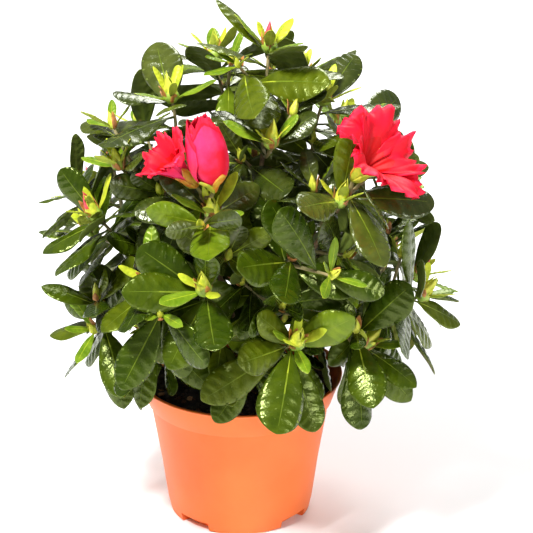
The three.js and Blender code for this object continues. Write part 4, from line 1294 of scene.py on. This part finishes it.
petal_tones = [
    finish("petal_coral_red", (0.58, 0.001, 0.011), (0.76, 0.004, 0.024), 10, (0.5, 0.62), 0.15, 1.4),
    # Deeper red for the throat: partly the petals' own colour, partly painted shade in the funnel.
    finish("petal_deep_red", (0.42, 0.0005, 0.002), (0.6, 0.002, 0.004), 8, (0.5, 0.6), 0.15, 1.4),
    finish("petal_edge_pink", (0.68, 0.006, 0.03), (0.78, 0.016, 0.055), 6, (0.5, 0.62), 0.15, 1.2),
    # Red mottled with pink patches: a painted sheen on the petals' outer face.
    finish("petal_outside", (0.64, 0.002, 0.02), (0.8, 0.03, 0.13), 17, (0.46, 0.56), 0.15, 1.4, (0.4, 0.62)),
]
for red in petal_tones:
    red.node_tree.nodes["Principled BSDF"].inputs["Specular IOR Level"].default_value = 0.2
petal_parts = []
for b, bloom in enumerate(blooms):
    kind = OPEN_BLOOM if bloom.is_open else HALF_OPEN_BLOOM
    for reach, closeness, turn, count in kind.rings:
        for i in range(count):
            own_reach = reach * (1.02 + 0.07 * math.sin(2.4 * i + 1))
            seed = 3.1 * b + 1.3 * i + reach
            petal_parts.append(petal_mesh(bloom, kind, turn + i * 360 / count, own_reach, closeness, seed))
petals = make_piece("petals", *joined(petal_parts), petal_tones)


# The sepals
# A small green and orange cup of five sepals holds the foot of each bloom. They lie against the
# funnel of the petals, and their size goes with the bloom's.

SEPALS = 5
SEPAL_TURN = 20
SEPAL_STEP_ANGLE = 144
CALYX_DEPTH = 5

sepal_tones = [
    finish("sepal_green", (0.28, 0.36, 0.02), (0.55, 0.46, 0.04), 4, (0.45, 0.55), 0.15, 0.8),
    finish("sepal_orange", (0.6, 0.13, 0.012), (0.62, 0.36, 0.03), 4, (0.45, 0.55), 0.15, 0.8),
]


def sepal_parts(bloom):
    """The sepals of one bloom, which stay outside the funnel of its petals."""

    def funnel(height):
        along = (height - CALYX_DEPTH) / (PETAL_RISE * bloom.depth)
        return np.where(height < CALYX_DEPTH, 0, tube_radius(bloom, along))

    parts = []
    for i in range(SEPALS):
        shape = Named(
            length=13 + 0.22 * bloom.radius - 1.1 * i, radius=2.5 + 0.06 * bloom.radius + 0.15 * i,
            spread=46, flare=0, foot=0.35, tip=0.85,
        )
        foot = bloom.foot - bloom.lean * CALYX_DEPTH
        azimuth = SEPAL_TURN + i * SEPAL_STEP_ANGLE
        parts.append((*scale_mesh(foot, bloom.lean, azimuth, shape, funnel), i % 3 != 1))
    return parts


all_sepal_parts = [part for bloom in blooms for part in sepal_parts(bloom)]
sepals = make_piece("sepals", *joined(all_sepal_parts), sepal_tones)


# The floor, the light and the camera
# A plain pale floor, wide soft lamps and a bright even surround. The camera looks down on the plant
# from the front at the photograph's angle.

FLOOR_SIZE = 14
LIT_POINT = Vector((0, 0, 0.17))
CAMERA_TARGET = Vector((0.0157, 0, 0.1525))
CAMERA_DISTANCE = 1.496
CAMERA_PITCH = math.radians(23)
SENSOR_WIDTH = 36
CAMERA_LENS = SENSOR_WIDTH * 2600 / 533

bpy.ops.mesh.primitive_plane_add(size=FLOOR_SIZE, location=(0, 3, -0.0002))
floor = bpy.context.object
floor.name = "pale_floor"
floor.data.materials.append(finish("floor_white", (0.9, 0.9, 0.9), (0.93, 0.93, 0.93), 900, (0.8, 0.9)))

world = bpy.data.worlds.new("studio")
bpy.context.scene.world = world
world.use_nodes = True
world.node_tree.nodes["Background"].inputs["Color"].default_value = (1, 1, 1, 1)
world.node_tree.nodes["Background"].inputs["Strength"].default_value = 0.33


def lamp(name, place, size, power):
    data = bpy.data.lights.new(name, "AREA")
    data.size = size
    data.energy = power
    light = add_object(name, data)
    light.location = place
    light.rotation_euler = (LIT_POINT - Vector(place)).to_track_quat("-Z", "Y").to_euler()


lamp("key", (-0.55, -0.7, 1.5), 0.3, 48)
lamp("fill", (1.1, -1.0, 0.6), 0.4, 9)
lamp("back", (0.3, 1.0, 1.2), 0.7, 20)

camera_data = bpy.data.cameras.new("camera")
camera_data.lens = CAMERA_LENS
camera_data.sensor_width = SENSOR_WIDTH
camera_data.clip_end = 50
camera = add_object("camera", camera_data)
ahead = Vector((0, math.cos(CAMERA_PITCH), -math.sin(CAMERA_PITCH)))
camera.location = CAMERA_TARGET - CAMERA_DISTANCE * ahead
camera.rotation_euler = (math.radians(90) - CAMERA_PITCH, 0, 0)
bpy.context.scene.camera = camera
bpy.context.scene.view_settings.view_transform = "Standard"
